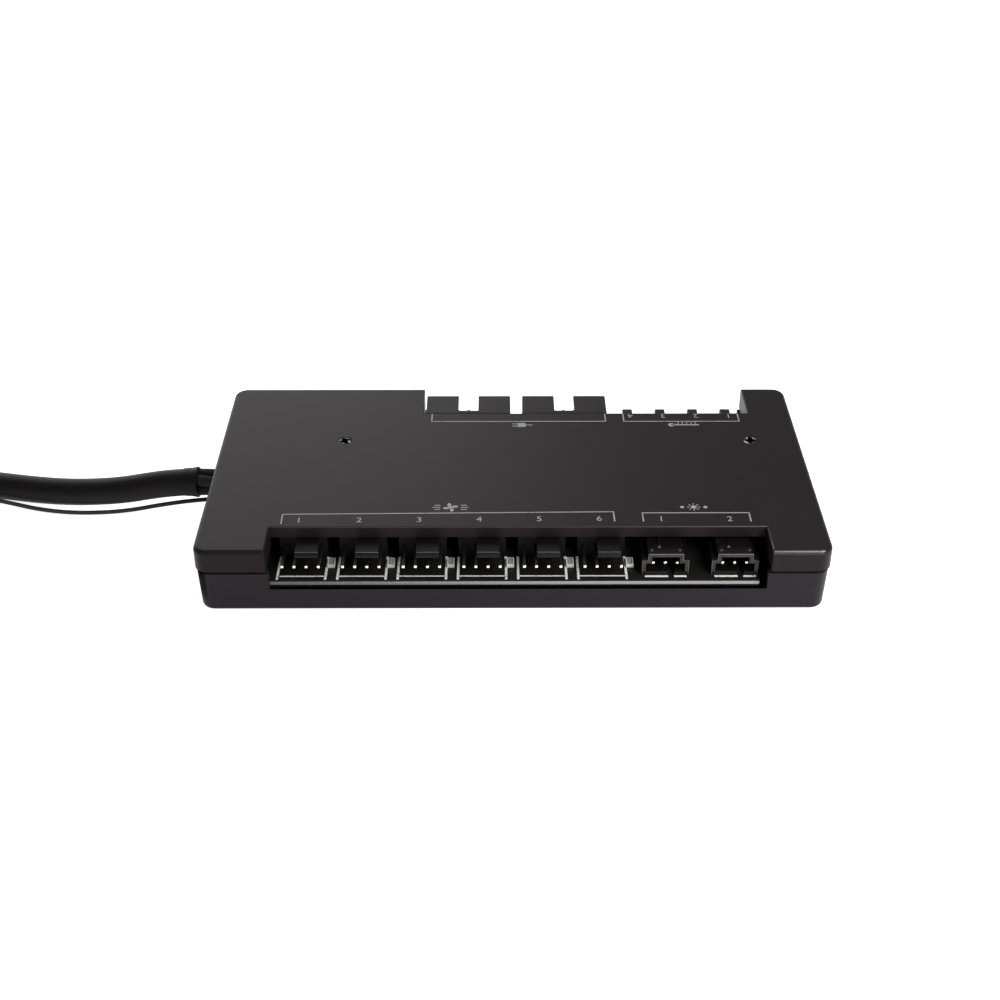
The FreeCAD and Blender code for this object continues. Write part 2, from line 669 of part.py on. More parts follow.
def lock_header(kind, number, pins, tongue_width, tongue_shift, across, along, turn):
    """A socket base with a springy locking tongue over its row of pins."""
    body = new_body(f"{kind}_header_{number}")
    prefix = f"{kind}_{number}"
    half = f"({pins} * pin_pitch / 2)"
    base = sketch_on(body, f"{prefix}_base_outline", "XY_Plane")
    rectangle(base, f"-{half}", half, "0", "lock_base_depth")
    pad(body, f"{prefix}_base", base, "lock_height")
    profile = sketch_on(body, f"{prefix}_tongue_profile", "YZ_Plane", tongue_shift)
    under = "(lock_height - tongue_thickness)"
    outline(profile, [
        ("lock_base_depth / 2", under),
        ("lock_base_depth / 2", "lock_height"),
        ("tongue_thickness / 2 - tongue_reach", "lock_height"),
        ("-tongue_reach", "lock_height - tongue_thickness / 2"),
        ("-tongue_reach", under),
        ("tongue_catch - tongue_reach", f"{under} - tongue_catch"),
        ("4 * tongue_catch - tongue_reach", under),
    ])
    pad(body, f"{prefix}_tongue", profile, tongue_width, both_ways=True)
    first = f"(pin_pitch / 2 - {half})"
    pin_holes(body, f"{prefix}_pin_hole", pins, first, "lock_pin_height", "0", "lock_base_depth")
    place(body, across, along, BOARD_TOP, turn)
    rods = new_body(f"{kind}_pins_{number}")
    bent_pins(rods, f"{prefix}_pin", pins, first, "lock_pin_height", "-lock_pin_reach", LOCK_LEG)
    place(rods, across, along, BOARD_TOP, turn)


def stepped_outline(sketch, inset):
    """Front view of a light socket: a wide foot and a narrower crown, moved in by the inset."""
    wide = f"(led_width / 2 - {inset})"
    slim = f"(led_top_width / 2 - {inset})"
    shoulder = f"(led_shoulder - {inset})"
    crown = f"(led_height - {inset})"
    outline(sketch, [
        (f"-{wide}", inset),
        (wide, inset),
        (wide, shoulder),
        (slim, shoulder),
        (slim, crown),
        (f"-{slim}", crown),
        (f"-{slim}", shoulder),
        (f"-{wide}", shoulder),
    ])


def led_header(number, across):
    """A shrouded three-pin socket for a light strip, with a keyed crown."""
    body = new_body(f"led_header_{number}")
    prefix = f"led_{number}"
    shroud = sketch_on(body, f"{prefix}_shroud_outline", "XZ_Plane")
    stepped_outline(shroud, "0")
    pad(body, f"{prefix}_shroud", shroud, "led_depth", against=True)
    mouth = sketch_on(body, f"{prefix}_mouth_outline", "XZ_Plane")
    stepped_outline(mouth, "led_wall")
    pocket(body, f"{prefix}_mouth", mouth, "led_depth - led_back")
    notch = sketch_on(body, f"{prefix}_notch_outline", "XZ_Plane")
    rectangle(notch, "pin_pitch / 2 - led_notch / 2", "pin_pitch / 2 + led_notch / 2",
              "-led_wall", "1.5 * led_wall")
    pocket(body, f"{prefix}_notch", notch, "led_depth - led_back")
    ribs = sketch_on(body, f"{prefix}_rib_outline", "XY_Plane", "led_height")
    for middle, near, far in (
        ("-(led_top_width / 2 - led_rib_inset)", "led_rib_start", "led_rib_end"),
        ("-pin_pitch / 2", "led_rib_end", "led_depth - led_back"),
        ("(led_top_width / 2 - led_rib_inset)", "led_rib_start", "led_rib_end"),
    ):
        rectangle(ribs, f"{middle} - led_rib_width / 2", f"{middle} + led_rib_width / 2", near, far)
    pad(body, f"{prefix}_ribs", ribs, "led_rib_height")
    first = f"(-{(LED_PINS - 1) / 2} * pin_pitch)"
    pin_holes(body, f"{prefix}_pin_hole", LED_PINS, first, "led_pin_height",
              "led_depth - led_back", "led_back")
    place(body, across, LED_FACE, BOARD_TOP)
    rods = new_body(f"led_pins_{number}")
    bent_pins(rods, f"{prefix}_pin", LED_PINS, first, "led_pin_height", "led_pin_inset", LED_LEG)
    place(rods, across, LED_FACE, BOARD_TOP)


def data_header(number, across):
    """A boxed two-row socket with a keyway in its top wall and one pin left out."""
    body = new_body(f"data_header_{number}")
    prefix = f"data_{number}"
    half = "(data_width / 2)"
    box = sketch_on(body, f"{prefix}_box_outline", "XZ_Plane")
    rectangle(box, f"-{half}", half, "0", "data_height")
    pad(body, f"{prefix}_box", box, "data_depth", against=True)
    mouth = sketch_on(body, f"{prefix}_mouth_outline", "XZ_Plane")
    rectangle(mouth, f"data_wall - {half}", f"{half} - data_wall", "data_wall", "data_height - data_wall")
    pocket(body, f"{prefix}_mouth", mouth, "data_depth - data_back")
    key = sketch_on(body, f"{prefix}_key_outline", "XZ_Plane")
    rectangle(key, "-key_width / 2", "key_width / 2",
              "data_height - 1.5 * data_wall", "data_height + data_wall")
    pocket(body, f"{prefix}_key", key, "key_length")
    rods = new_body(f"data_pins_{number}")
    for level, (count, height) in enumerate((
        (DATA_COLUMNS, "(data_height / 2 - pin_pitch / 2)"),
        (DATA_COLUMNS - 1, "(data_height / 2 + pin_pitch / 2)"),
    )):
        first = f"(-{(DATA_COLUMNS - 1) / 2} * pin_pitch)"
        name = f"{prefix}_level_{level + 1}"
        pin_holes(body, f"{name}_hole", count, first, height, "data_depth - data_back", "data_back")
        leg = f"({DATA_LEG} + {level} * pin_pitch)"
        bent_pins(rods, f"{name}_pin", count, first, height, "data_pin_inset", leg)
    for item in (body, rods):
        place(item, across, DATA_FACE, BOARD_TOP, 180.0)


def flat_chip(label, across, along, length, width, height, count=1, step="0"):
    """A moulded package, or a row of them, that stands on the board."""
    body = new_body(label)
    foot = sketch_on(body, f"{label}_outline", "XY_Plane", BOARD_TOP)
    rectangle(foot, f"{across} - {length} / 2", f"{across} + {length} / 2",
              f"{along} - {width} / 2", f"{along} + {width} / 2")
    block = pad(body, f"{label}_block", foot, height)
    if count > 1:
        row_of(body, f"{label}_row", [block], "X_Axis", count, f"{count - 1} * {step}")


def board_parts():
    """Fuses beside the fan sockets and the main parts under the cover."""
    fuse_across = f"({FAN_START} + {FAN_STEP} - header_gap / 2)"
    flat_chip("channel_fuses", fuse_across, f"({FAN_FACE} - fuse_setback)", "fuse_width", "fuse_length",
              "fuse_height", FAN_HEADERS, FAN_STEP)
    driver_along = f"({FAN_FACE} + {LOCK_LEG} + driver_setback + driver_width / 2)"
    flat_chip("fan_drivers", f"({FAN_START} + {FAN_WIDTH} / 2)", driver_along, "driver_length",
              "driver_width", "driver_height", FAN_HEADERS, FAN_STEP)
    shifter_along = f"({LED_FACE} + {LED_LEG} + driver_setback + driver_width / 2)"
    flat_chip("light_driver", f"({LED_START} + {LED_ROW} / 2)", shifter_along, "shifter_length",
              "driver_width", "driver_height")
    flat_chip("control_chip", "0", "0", "chip_side", "chip_side", "chip_height")
    flat_chip("data_hub_chip", "hub_offset", "0", "hub_side", "hub_side", "hub_height")
    flat_chip("clock_crystal", "(-crystal_offset)", "0", "crystal_width", "crystal_length", "crystal_height")
    round_edges(parts[-1], "crystal_can_edges", "crystal_width / 2.5", is_upright)
    flat_chip("power_coil", "coil_offset", "0", "coil_side", "coil_side", "coil_height")
    round_edges(parts[-1], "power_coil_edges", "coil_side / 5", is_upright)
    body = new_body("buffer_cans")
    cans = sketch_on(body, "can_outline", "XY_Plane", BOARD_TOP)
    circle(cans, "-can_offset - can_pitch", "-can_diameter / 2", "can_diameter")
    can = pad(body, "can", cans, "can_height")
    row_of(body, "can_row", [can], "X_Axis", 3, "2 * can_pitch")


def lead_entry():
    """The lead's bundle in the wall, its wires on the board and the tie that stops it inside."""
    bundle = new_body("lead_bundle")
    section = sketch_on(bundle, "bundle_outline", "YZ_Plane", f"-({HALF_LENGTH} + lead_stub)")
    circle(section, "lead_across", LEAD_HEIGHT, "lead_core")
    pad(bundle, "bundle", section, f"lead_stub + {INNER} + core_inside")
    wires = new_body("lead_wires")
    section = sketch_on(wires, "wire_outline", "YZ_Plane", f"core_inside - {INNER_LENGTH}")
    circle(section, f"lead_across - {(LEAD_WIRES - 1) / 2} * wire_pitch", WIRE_HEIGHT, "wire_diameter")
    wire = pad(wires, "wire", section, "lead_room - core_inside + wire_landing")
    row_of(wires, "wire_row", [wire], "Y_Axis", LEAD_WIRES, f"{LEAD_WIRES - 1} * wire_pitch")
    tie = new_body("lead_stop_tie")
    tie_side = f"stop_tie_place - {INNER_LENGTH}"
    loop = sketch_on(tie, "stop_loop_outline", "YZ_Plane", tie_side)
    circle(loop, "lead_across", LEAD_HEIGHT, "lead_core")
    circle(loop, "lead_across", LEAD_HEIGHT, "lead_core + 2 * stop_tie_band")
    pad(tie, "stop_loop", loop, "stop_tie_width")
    head = sketch_on(tie, "stop_head_outline", "YZ_Plane", tie_side)
    near = "(lead_across + lead_core / 2 + stop_tie_band / 2)"
    rectangle(head, near, f"{near} + stop_tie_head", f"{LEAD_HEIGHT} - stop_tie_head / 2",
              f"{LEAD_HEIGHT} + stop_tie_head / 2")
    pad(tie, "stop_head", head, "stop_tie_width")
    return bundle


def lead_coil():
    """Outer form of the coiled lead, and the strap that holds it."""
    coil = new_body("power_lead_coil")
    section = sketch_on(coil, "coil_section", "XZ_Plane")
    half = "sleeve_diameter / 2"
    near = f"(coil_radius - {half})"
    far = f"(coil_radius + {half})"
    low = COIL_FLOOR
    high = f"({COIL_FLOOR} + coil_layers * sleeve_diameter)"
    outline(section, [
        (f"{near} + coil_edge", low),
        (f"{far} - coil_edge", low),
        (far, f"{low} + coil_edge"),
        (far, f"{high} - coil_edge"),
        (f"{far} - coil_edge", high),
        (f"{near} + coil_edge", high),
        (near, f"{high} - coil_edge"),
        (near, f"{low} + coil_edge"),
    ])
    ring = coil.newObject("PartDesign::Revolution", "coil_ring")
    ring.Profile = section
    ring.ReferenceAxis = (section, ["V_Axis"])
    ring.Angle = 360.0
    coil.Placement = Placement(COIL_CENTRE, Rotation())
    strap = new_body("coil_strap")
    frame = sketch_on(strap, "strap_outline", "XZ_Plane")
    inner = f"({half} + coil_tie_gap)"
    outer = f"({inner} + coil_tie_band)"
    top = f"({COIL_FLOOR} + coil_layers * sleeve_diameter + coil_tie_gap)"
    rectangle(frame, f"coil_radius - {outer}", f"coil_radius + {outer}", "0", f"{top} + coil_tie_band")
    rectangle(frame, f"coil_radius - {inner}", f"coil_radius + {inner}", "coil_tie_band", top)
    pad(strap, "strap", frame, "coil_tie_width", both_ways=True)
    strap.Placement = Placement(COIL_CENTRE, Rotation(Vector(0, 0, 1), STRAP_ANGLE))
    return coil


def smooth_path(name, route):
    """Straight runs joined by tangent arcs that are as large as the runs allow."""
    edges = []
    radii = []
    start = route[0]
    for before, corner, after in zip(route, route[1:], route[2:]):
        into = corner - before
        out = after - corner
        trim = 0.45 * min(into.Length, out.Length)
        half_turn = into.getAngle(out) / 2
        radius = trim / math.tan(half_turn)
        into.normalize()
        out.normalize()
        inward = out - into
        inward.normalize()
        arc_start = corner - into * trim
        arc_end = corner + out * trim
        middle = corner + inward * (radius / math.cos(half_turn) - radius)
        edges.append(Part.LineSegment(start, arc_start).toShape())
        edges.append(Part.Arc(arc_start, middle, arc_end).toShape())
        start = arc_end
        radii.append(round(radius, 1))
    edges.append(Part.LineSegment(start, route[-1]).toShape())
    print(name, "radii", radii)
    return Part.Wire(edges)


def cord_tube(label, route, diameter, trimmed_by=None):
    """A cord of many flat sides along its route, ended where it meets a coil."""
    path = smooth_path(label, route)
    circle_line = Part.Circle(route[0], route[1] - route[0], diameter / 2)
    corners = [circle_line.value(2 * math.pi * side / CORD_SIDES) for side in range(CORD_SIDES)]
    section = Part.makePolygon(corners + corners[:1])
    tube = path.makePipeShell([section], True, False)
    swept = Part.Face(section).Area * path.Length
    print(label, "length", round(path.Length, 1))
    print(label, "volume over section times length", round(tube.Volume / swept, 4))
    if trimmed_by is not None:
        tube = tube.cut(trimmed_by.Shape)
    cord = doc.addObject("Part::Feature", label)
    cord.Label = label
    cord.Shape = tube
    cord.Placement = Placement()
    parts.append(cord)


def coil_point(angle, rise):
    """A point on the coil's middle line at an angle and a height."""
    turn = math.radians(angle)
    return COIL_CENTRE + Vector(sheet.coil_radius * math.cos(turn), sheet.coil_radius * math.sin(turn), rise)


def lead_route(bundle):
    """From the bundle's end down to the floor and on to the coil's lower turn."""
    box = bundle.Shape.BoundBox
    start = Vector(box.XMin, box.Center.y, box.Center.z)
    rise = sheet.coil_tie_band + sheet.coil_tie_gap + sheet.sleeve_diameter / 2
    return [
        start,
        start + Vector(-3.9, 0.0, 0.0),
        start + Vector(-10.4, 0.05, -0.7),
        Vector(-91.0, 4.9, 4.95),
        Vector(-104.0, 6.2, 3.8),
        Vector(-120.0, 9.4, 3.7),
        Vector(-142.0, 14.6, 3.7),
        coil_point(COIL_ENTRY_ANGLE, rise),
    ]


def tail_route():
    """From the middle of the coil's outer wall down to the plug."""
    rise = sheet.coil_tie_band + sheet.coil_tie_gap + sheet.coil_layers / 2 * sheet.sleeve_diameter
    start = coil_point(COIL_EXIT_ANGLE, rise)
    end = PLUG_START + Vector(0.0, 0.0, sheet.plug_height / 2)
    return [start, start + Vector(14.0, -2.9, 0.0), end + Vector(-14.3, 0.0, 0.0), end]


def lead_clip(route):
    """A small clip that holds the stray wire against the lead."""
    body = new_body("lead_clip")
    heading = route[6] - route[5]
    heading.normalize()
    bore = "(sleeve_diameter / 2 + band_gap)"
    shell = sketch_on(body, "clip_outline", "YZ_Plane")
    rectangle(shell, f"-({bore} + 3 * band_wall + stray_diameter)", f"{bore} + band_wall",
              f"-({bore} + band_wall)", f"{bore} + band_wall")
    circle(shell, "0", "0", f"2 * {bore}")
    pad(body, "clip_block", shell, "band_length", against=True)
    round_edges(body, "clip_edges", "2 * band_wall", runs_along)
    turn = Rotation(Vector(0, 0, 1), math.degrees(math.atan2(-heading.y, -heading.x)))
    body.Placement = Placement(route[5] + heading * sheet.band_place, turn)
    return body


def stray_route(bundle, board, clip):
    """From the board through its own hole in the wall and along the lead to the clip."""
    hole = Vector(bundle.Shape.BoundBox.XMin + sheet.lead_stub, sheet.stray_across, sheet.stray_height)
    rest = board.Shape.BoundBox.ZMax + sheet.stray_diameter / 2
    beside = sheet.sleeve_diameter / 2 + sheet.band_gap + 1.5 * sheet.band_wall + sheet.stray_diameter / 2
    return [
        Vector(hole.x + 15.5, -2.6, rest),
        Vector(hole.x + 10.6, -2.5, rest + 0.45),
        Vector(hole.x + 6.9, -0.4, 6.0),
        hole + Vector(3.3, 0.0, 0.0),
        hole + Vector(-2.5, 0.0, 0.0),
        Vector(-78.5, 2.55, 3.2),
        Vector(-91.0, 2.0, 0.9),
        Vector(-106.0, 2.4, 0.7),
        clip.Placement.multVec(Vector(8.0, -beside, -0.7)),
        clip.Placement.multVec(Vector(0.0, -beside, -0.7)),
    ]


def power_plug():
    """Flat power plug with an angled slot and a row of contacts in it."""
    body = new_body("power_plug")
    shoulder = "(plug_tail_length)"
    face = f"({shoulder} + plug_length)"
    neck = "(plug_tail_width / 3)"
    tail = "(plug_tail_width / 2)"
    wide = "(plug_width / 2)"
    plan = sketch_on(body, "plug_plan", "XY_Plane")
    outline(plan, [
        ("0", f"-{neck}"),
        (f"{shoulder} / 2", f"-{tail}"),
        (shoulder, f"-{tail}"),
        (shoulder, f"-{wide}"),
        (face, f"-{wide}"),
        (face, wide),
        (shoulder, wide),
        (shoulder, tail),
        (f"{shoulder} / 2", tail),
        ("0", neck),
    ])
    pad(body, "plug_block", plan, "plug_height")
    round_edges(body, "plug_edges", "plug_edge", runs_along)
    slot = sketch_on(body, "slot_outline", "YZ_Plane", face)
    ceiling = "(slot_rise + slot_height)"
    outline(slot, [
        ("-slot_width / 2", "slot_rise"),
        ("slot_width / 2", "slot_rise"),
        ("slot_width / 2", ceiling),
        ("slot_key - slot_width / 2", ceiling),
        ("slot_key - slot_width / 2", f"{ceiling} + slot_key"),
        ("-slot_width / 2", f"{ceiling} + slot_key"),
    ])
    pocket(body, "slot", slot, "slot_depth")
    contacts = new_body("plug_contacts")
    first = f"(-{(PLUG_CONTACTS - 1) / 2} * contact_pitch)"
    strip = sketch_on(contacts, "contact_outline", "YZ_Plane", f"{face} - slot_depth")
    rectangle(strip, f"{first} - contact_width / 2", f"{first} + contact_width / 2",
              "slot_rise", "slot_rise + contact_thickness")
    contact = pad(contacts, "contact", strip, "contact_length")
    span = f"{PLUG_CONTACTS - 1} * contact_pitch"
    row_of(contacts, "contact_row", [contact], "Y_Axis", PLUG_CONTACTS, span)
    for item in (body, contacts):
        item.Placement = Placement(PLUG_START, Rotation())


base_tray()
top_cover()
cover_screws()
circuit_board = main_board()
for index in range(FAN_HEADERS):
    lock_header("fan", index + 1, FAN_PINS, "fan_tongue_width", "pin_pitch / 2",
                f"{FAN_START} + {FAN_WIDTH} / 2 + {index} * {FAN_STEP}", FAN_FACE, 0.0)
for index in range(LED_HEADERS):
    led_header(index + 1, f"{LED_START} + led_width / 2 + {index} * {LED_STEP}")
for index in range(DATA_HEADERS):
    data_header(index + 1, f"{DATA_START} + data_width / 2 + {index} * {DATA_STEP}")
for index in range(TEMP_HEADERS):
    lock_header("temp", index + 1, TEMP_PINS, "temp_tongue_width", "0",
                f"{TEMP_START} + {TEMP_WIDTH} / 2 + {index} * {TEMP_STEP}", TEMP_FACE, 180.0)
board_parts()
lead_bundle = lead_entry()
coil_ring = lead_coil()
doc.recompute()
sleeve_route = lead_route(lead_bundle)
wire_clip = lead_clip(sleeve_route)
power_plug()
doc.recompute()
cord_tube("power_lead", sleeve_route, sheet.sleeve_diameter, coil_ring)
cord_tube("power_lead_tail", tail_route(), sheet.sleeve_diameter, coil_ring)
cord_tube("stray_wire", stray_route(lead_bundle, circuit_board, wire_clip), sheet.stray_diameter)
doc.recompute()

for item in doc.Objects:
    if "Invalid" in item.State or "Error" in item.State:
        raise RuntimeError(f"{item.Label} failed: {item.State}")
for part in parts:
    if part.Shape.isNull() or not part.Shape.isValid() or not part.Shape.Solids:
        raise RuntimeError(f"{part.Label} has no sound solid")
os.makedirs("parts", exist_ok=True)
for part in parts:
    part.Shape.exportStep(f"parts/{part.Label}.step")
print(len(parts), "sub-parts")
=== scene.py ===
"""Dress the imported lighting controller: finishes, prints, small hardware, its lead and a studio."""

import logging
import math
from dataclasses import dataclass, field
from enum import Enum
from typing import Iterable

import bmesh
import bpy
from mathutils import Matrix, Vector

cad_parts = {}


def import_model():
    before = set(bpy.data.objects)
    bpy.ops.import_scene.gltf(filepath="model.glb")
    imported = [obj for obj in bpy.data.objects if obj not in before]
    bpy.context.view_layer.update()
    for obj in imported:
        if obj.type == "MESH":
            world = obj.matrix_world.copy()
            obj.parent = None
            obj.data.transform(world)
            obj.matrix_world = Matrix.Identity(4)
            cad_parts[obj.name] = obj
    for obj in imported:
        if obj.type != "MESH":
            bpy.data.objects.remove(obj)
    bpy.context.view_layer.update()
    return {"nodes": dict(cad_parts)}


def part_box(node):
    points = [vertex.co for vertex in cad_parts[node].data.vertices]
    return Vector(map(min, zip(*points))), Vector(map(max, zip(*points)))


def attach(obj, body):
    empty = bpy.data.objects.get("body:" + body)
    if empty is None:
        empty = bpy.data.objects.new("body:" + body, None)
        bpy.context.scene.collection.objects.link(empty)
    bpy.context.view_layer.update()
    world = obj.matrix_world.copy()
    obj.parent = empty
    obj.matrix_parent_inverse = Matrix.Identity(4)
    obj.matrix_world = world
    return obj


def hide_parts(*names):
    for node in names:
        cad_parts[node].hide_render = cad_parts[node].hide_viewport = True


LOG = logging.getLogger("controller")
BODY = "root"
MM = 0.001
WELD = 0.001 * MM
FANS, LIGHTS = 6, 2
FINE_OCTAVES, PATCH_OCTAVES = 3.0, 4.0
FULL_WHITE = (1.0, 1.0, 1.0, 1.0)
ALONG_X = (1.0, 0.0, 0.0)
UNCHANGED = Matrix.Identity(4)

Pair = tuple[float, float]
Colour = tuple[float, float, float]
Point = tuple[float, float, float]
Form = bmesh.types.BMesh
Vert = bmesh.types.BMVert
Edge = bmesh.types.BMEdge
Face = bmesh.types.BMFace
Item = bpy.types.Object
Signal = bpy.types.NodeSocket


class Relief(Enum):
    """Kinds of fine surface relief."""

    GRAIN = "grain"
    BRUSHED = "brushed"
    RINGED = "ringed"


class ShaderBench:
    """The node tree of a material or a world, with short ways to add and join nodes."""

    def __init__(self, owner: bpy.types.ID) -> None:
        """Clear a tree and take it in hand.

        Args:
            owner: The material or the world.
        """
        owner.use_nodes = True
        self.tree = owner.node_tree
        self.tree.nodes.clear()

    def feed(self, socket: Signal, value: object) -> None:
        """Join an output to an input, or set the input to a plain value.

        Args:
            socket: The input.
            value: An output, a number or a colour.
        """
        if isinstance(value, bpy.types.NodeSocket):
            self.tree.links.new(value, socket)
        else:
            socket.default_value = value

    def add(self, kind: str, **inputs: object) -> bpy.types.Node:
        """Add a node and feed its inputs.

        Args:
            kind: The node's type name after ShaderNode.
            inputs: What each input gets, by its name with _ for a space.

        Returns:
            The new node.
        """
        node = self.tree.nodes.new(f"ShaderNode{kind}")
        for name, value in inputs.items():
            self.feed(node.inputs[name.replace("_", " ")], value)
        return node

    def place(self) -> Signal:
        """Return the piece's own coordinates in metres."""
        return self.add("TexCoord").outputs["Object"]

    def parts(self, vector: Signal) -> bpy.types.NodeOutputs:
        """Return a vector's X, Y and Z."""
        return self.add("SeparateXYZ", Vector=vector).outputs

    def noise(self, size: float, octaves: float = FINE_OCTAVES) -> Signal:
        """Return noise with features of about a size in metres."""
        node = self.add("TexNoise", Vector=self.place(), Scale=1.0 / size, Detail=octaves)
        return node.outputs["Fac"]

    def ramp(self, value: Signal, low: Colour, high: Colour, span: Pair = (0.0, 1.0)) -> Signal:
        """Turn a value into a colour between two.

        Args:
            value: The value to read.
            low: Colour at the span's start.
            high: Colour at the span's end.
            span: Values between which the colour changes.

        Returns:
            The colour.
        """
        node = self.add("ValToRGB", Fac=value)
        for end, position, colour in zip(node.color_ramp.elements, span, (low, high)):
            end.position, end.color = position, (*colour, 1.0)
        return node.outputs["Color"]

    def maths(self, operation: str, *values: object) -> Signal:
        """Work out a value from others.

        Args:
            operation: Blender's name of the operation.
            values: Outputs or numbers that it works on.

        Returns:
            The result.
        """
        node = self.add("Math")
        node.operation = operation
        for socket, value in zip(node.inputs, values):
            self.feed(socket, value)
        return node.outputs["Value"]

    def blend(self, share: Signal, first: Signal, second: Signal) -> Signal:
        """Mix two colours.

        Args:
            share: How much of the second shows.
            first: The first colour.
            second: The second colour.

        Returns:
            The mixed colour.
        """
        node = self.add("Mix")
        node.data_type = "RGBA"
        self.feed(node.inputs["Factor"], share)
        colours = [socket for socket in node.inputs if socket.type == "RGBA"]
        for socket, colour in zip(colours, (first, second)):
            self.feed(socket, colour)
        return next(socket for socket in node.outputs if socket.type == "RGBA")

    def shown(self) -> Signal:
        """Tell whether a ray shows the background, straight or in metal and glass.

        Returns:
            1 where it does, otherwise 0.
        """
        path = self.add("LightPath").outputs
        mirrored = self.maths("MAXIMUM", path["Is Glossy Ray"], path["Is Transmission Ray"])
        return self.maths("MAXIMUM", path["Is Camera Ray"], mirrored)


def scaled(colour: Colour, share: float) -> Colour:
    """Return a colour times a share."""
    return tuple(share * part for part in colour)


@dataclass(frozen=True)
class Finish:
    """A surface finish with a drifting colour and a fine relief.

    Attributes:
        name: Name of the material.
        slot: The record's material slot; not used.
        colour: Mean colour, linear.
        roughness: Mean roughness.
        metallic: 1 for bare metal.
        specular: Specular level of the shader.
        tint: Colour of the gloss.
        relief: Kind of fine relief.
        grain: Size of the relief's features.
        depth: Depth of the relief.
        drift: Share by which the colour drifts over the surface.
        drift_size: Size of the drift's patches.
        drift_span: Noise values between which the colour drifts.
        sheen: Amount by which the roughness drifts.
        sheen_size: Size of the roughness's patches.
        stripes: Stripes in a grain's length, their wander and octaves.
    """

    name: str
    slot: str
    colour: Colour
    roughness: float
    metallic: float = 0.0
    specular: float = 0.5
    tint: Colour = (1.0, 1.0, 1.0)
    relief: Relief = Relief.GRAIN
    grain: float = 0.3 * MM
    depth: float = 0.01 * MM
    drift: float = 0.12
    drift_size: float = 9.0 * MM
    drift_span: Pair = (0.3, 0.7)
    sheen: float = 0.06
    sheen_size: float = 4.0 * MM
    stripes: tuple[float, float, float] = (0.3, 1.5, 2.0)

    def paint(self, bench: ShaderBench) -> Signal:
        """Return the surface's colour, which drifts between a darker and a lighter one."""
        ends = scaled(self.colour, 1.0 - self.drift), scaled(self.colour, 1.0 + self.drift)
        return bench.ramp(bench.noise(self.drift_size, PATCH_OCTAVES), *ends, self.drift_span)

    def height(self, bench: ShaderBench) -> Signal:
        """Work out the relief's height.

        Args:
            bench: The material under way.

        Returns:
            The height.
        """
        if self.relief is Relief.GRAIN:
            return bench.noise(self.grain)
        rate, wander, octaves = self.stripes
        wave = bench.add("TexWave", Vector=bench.place(), Scale=rate / self.grain,
                         Distortion=wander, Detail=octaves)
        if self.relief is Relief.RINGED:
            wave.wave_type, wave.rings_direction = "RINGS", "Z"
        return wave.outputs["Fac"]

    def material(self) -> bpy.types.Material:
        """Find the finish's material, or make it at its first use.

        Returns:
            The material.
        """
        known = bpy.data.materials.get(self.name)
        if known is not None:
            return known
        made = bpy.data.materials.new(self.name)
        bench = ShaderBench(made)
        patches = bench.noise(self.sheen_size)
        spread = bench.maths("MULTIPLY_ADD", patches, 2.0 * self.sheen, self.roughness - self.sheen)
        bump = bench.add("Bump", Strength=1.0, Distance=self.depth, Height=self.height(bench))
        shader = bench.add("BsdfPrincipled", Base_Color=self.paint(bench), Roughness=spread,
                           Metallic=self.metallic, Specular_IOR_Level=self.specular,
                           Specular_Tint=(*self.tint, 1.0), Normal=bump.outputs["Normal"])
        bench.add("OutputMaterial", Surface=shader.outputs["BSDF"])
        return made


@dataclass(frozen=True)
class BoardFinish(Finish):
    """Solder mask on a board, bare laminate on its front and rear cut edges, and painted shade on its
    other edges.

    Attributes:
        edge_colour: Colour of the bare laminate.
        edge_facing: Upward part of the normal below which a face is an edge.
        edge_reach: Distance from the middle beyond which an edge is bare; nearer edges, such as a
            slot's walls, keep the mask's dark colour as painted shade.
        edge_shade_top: Height from which it is bare; below it the edge keeps the mask's dark colour
            as painted shade.
        edge_top: Height up to which it is bare.
        fibre: Size of the laminate's fibre bundles.
        shade_end: Where the painted shade on the edge starts at the left.
        shade_length: Over what length the painted shade clears up.
        shade_share: How much of the colour is left where the painted shade is deepest.
        shade_bias: How much the painted shade outweighs the fibre noise.
    """

    edge_colour: Colour = (0.42, 0.43, 0.41)
    edge_facing: float = 0.5
    edge_reach: float = 32.2 * MM
    edge_shade_top: float = 5.6 * MM
    edge_top: float = 6.4 * MM
    fibre: float = 0.6 * MM
    shade_end: float = -52.0 * MM
    shade_length: float = 50.0 * MM
    shade_share: float = 0.45
    shade_bias: float = 0.6

    def paint(self, bench: ShaderBench) -> Signal:
        """Paint mask on the board's faces and laminate on its bare edges, with painted shade on the
        other edges and towards the laminate's left end.

        Args:
            bench: The material under way.

        Returns:
            The colour.
        """
        facing = bench.parts(bench.add("NewGeometry").outputs["Normal"])
        place = bench.parts(bench.place())
        bare = bench.maths("LESS_THAN", bench.maths("ABSOLUTE", facing["Z"]), self.edge_facing)
        outward = bench.maths("ABSOLUTE", place["Y"])
        # Only outer edges between two heights are bare; the other edges keep the mask's dark colour
        # as painted shade.
        for test, value, limit in (("GREATER_THAN", outward, self.edge_reach),
                                   ("LESS_THAN", place["Z"], self.edge_top),
                                   ("GREATER_THAN", place["Z"], self.edge_shade_top)):
            bare = bench.maths("MULTIPLY", bare, bench.maths(test, value, limit))
        # Painted shade: the laminate darkens towards the left end of the edge.
        from_end = bench.maths("SUBTRACT", place["X"], self.shade_end)
        along = bench.maths("DIVIDE", from_end, self.shade_length)
        clear = bench.maths("SUBTRACT", along, self.shade_bias)
        speckle_and_shade = bench.maths("ADD", bench.noise(self.fibre), clear)
        fibres_and_shade = bench.ramp(speckle_and_shade, scaled(self.edge_colour, self.shade_share), self.edge_colour)
        return bench.blend(bare, super().paint(bench), fibres_and_shade)


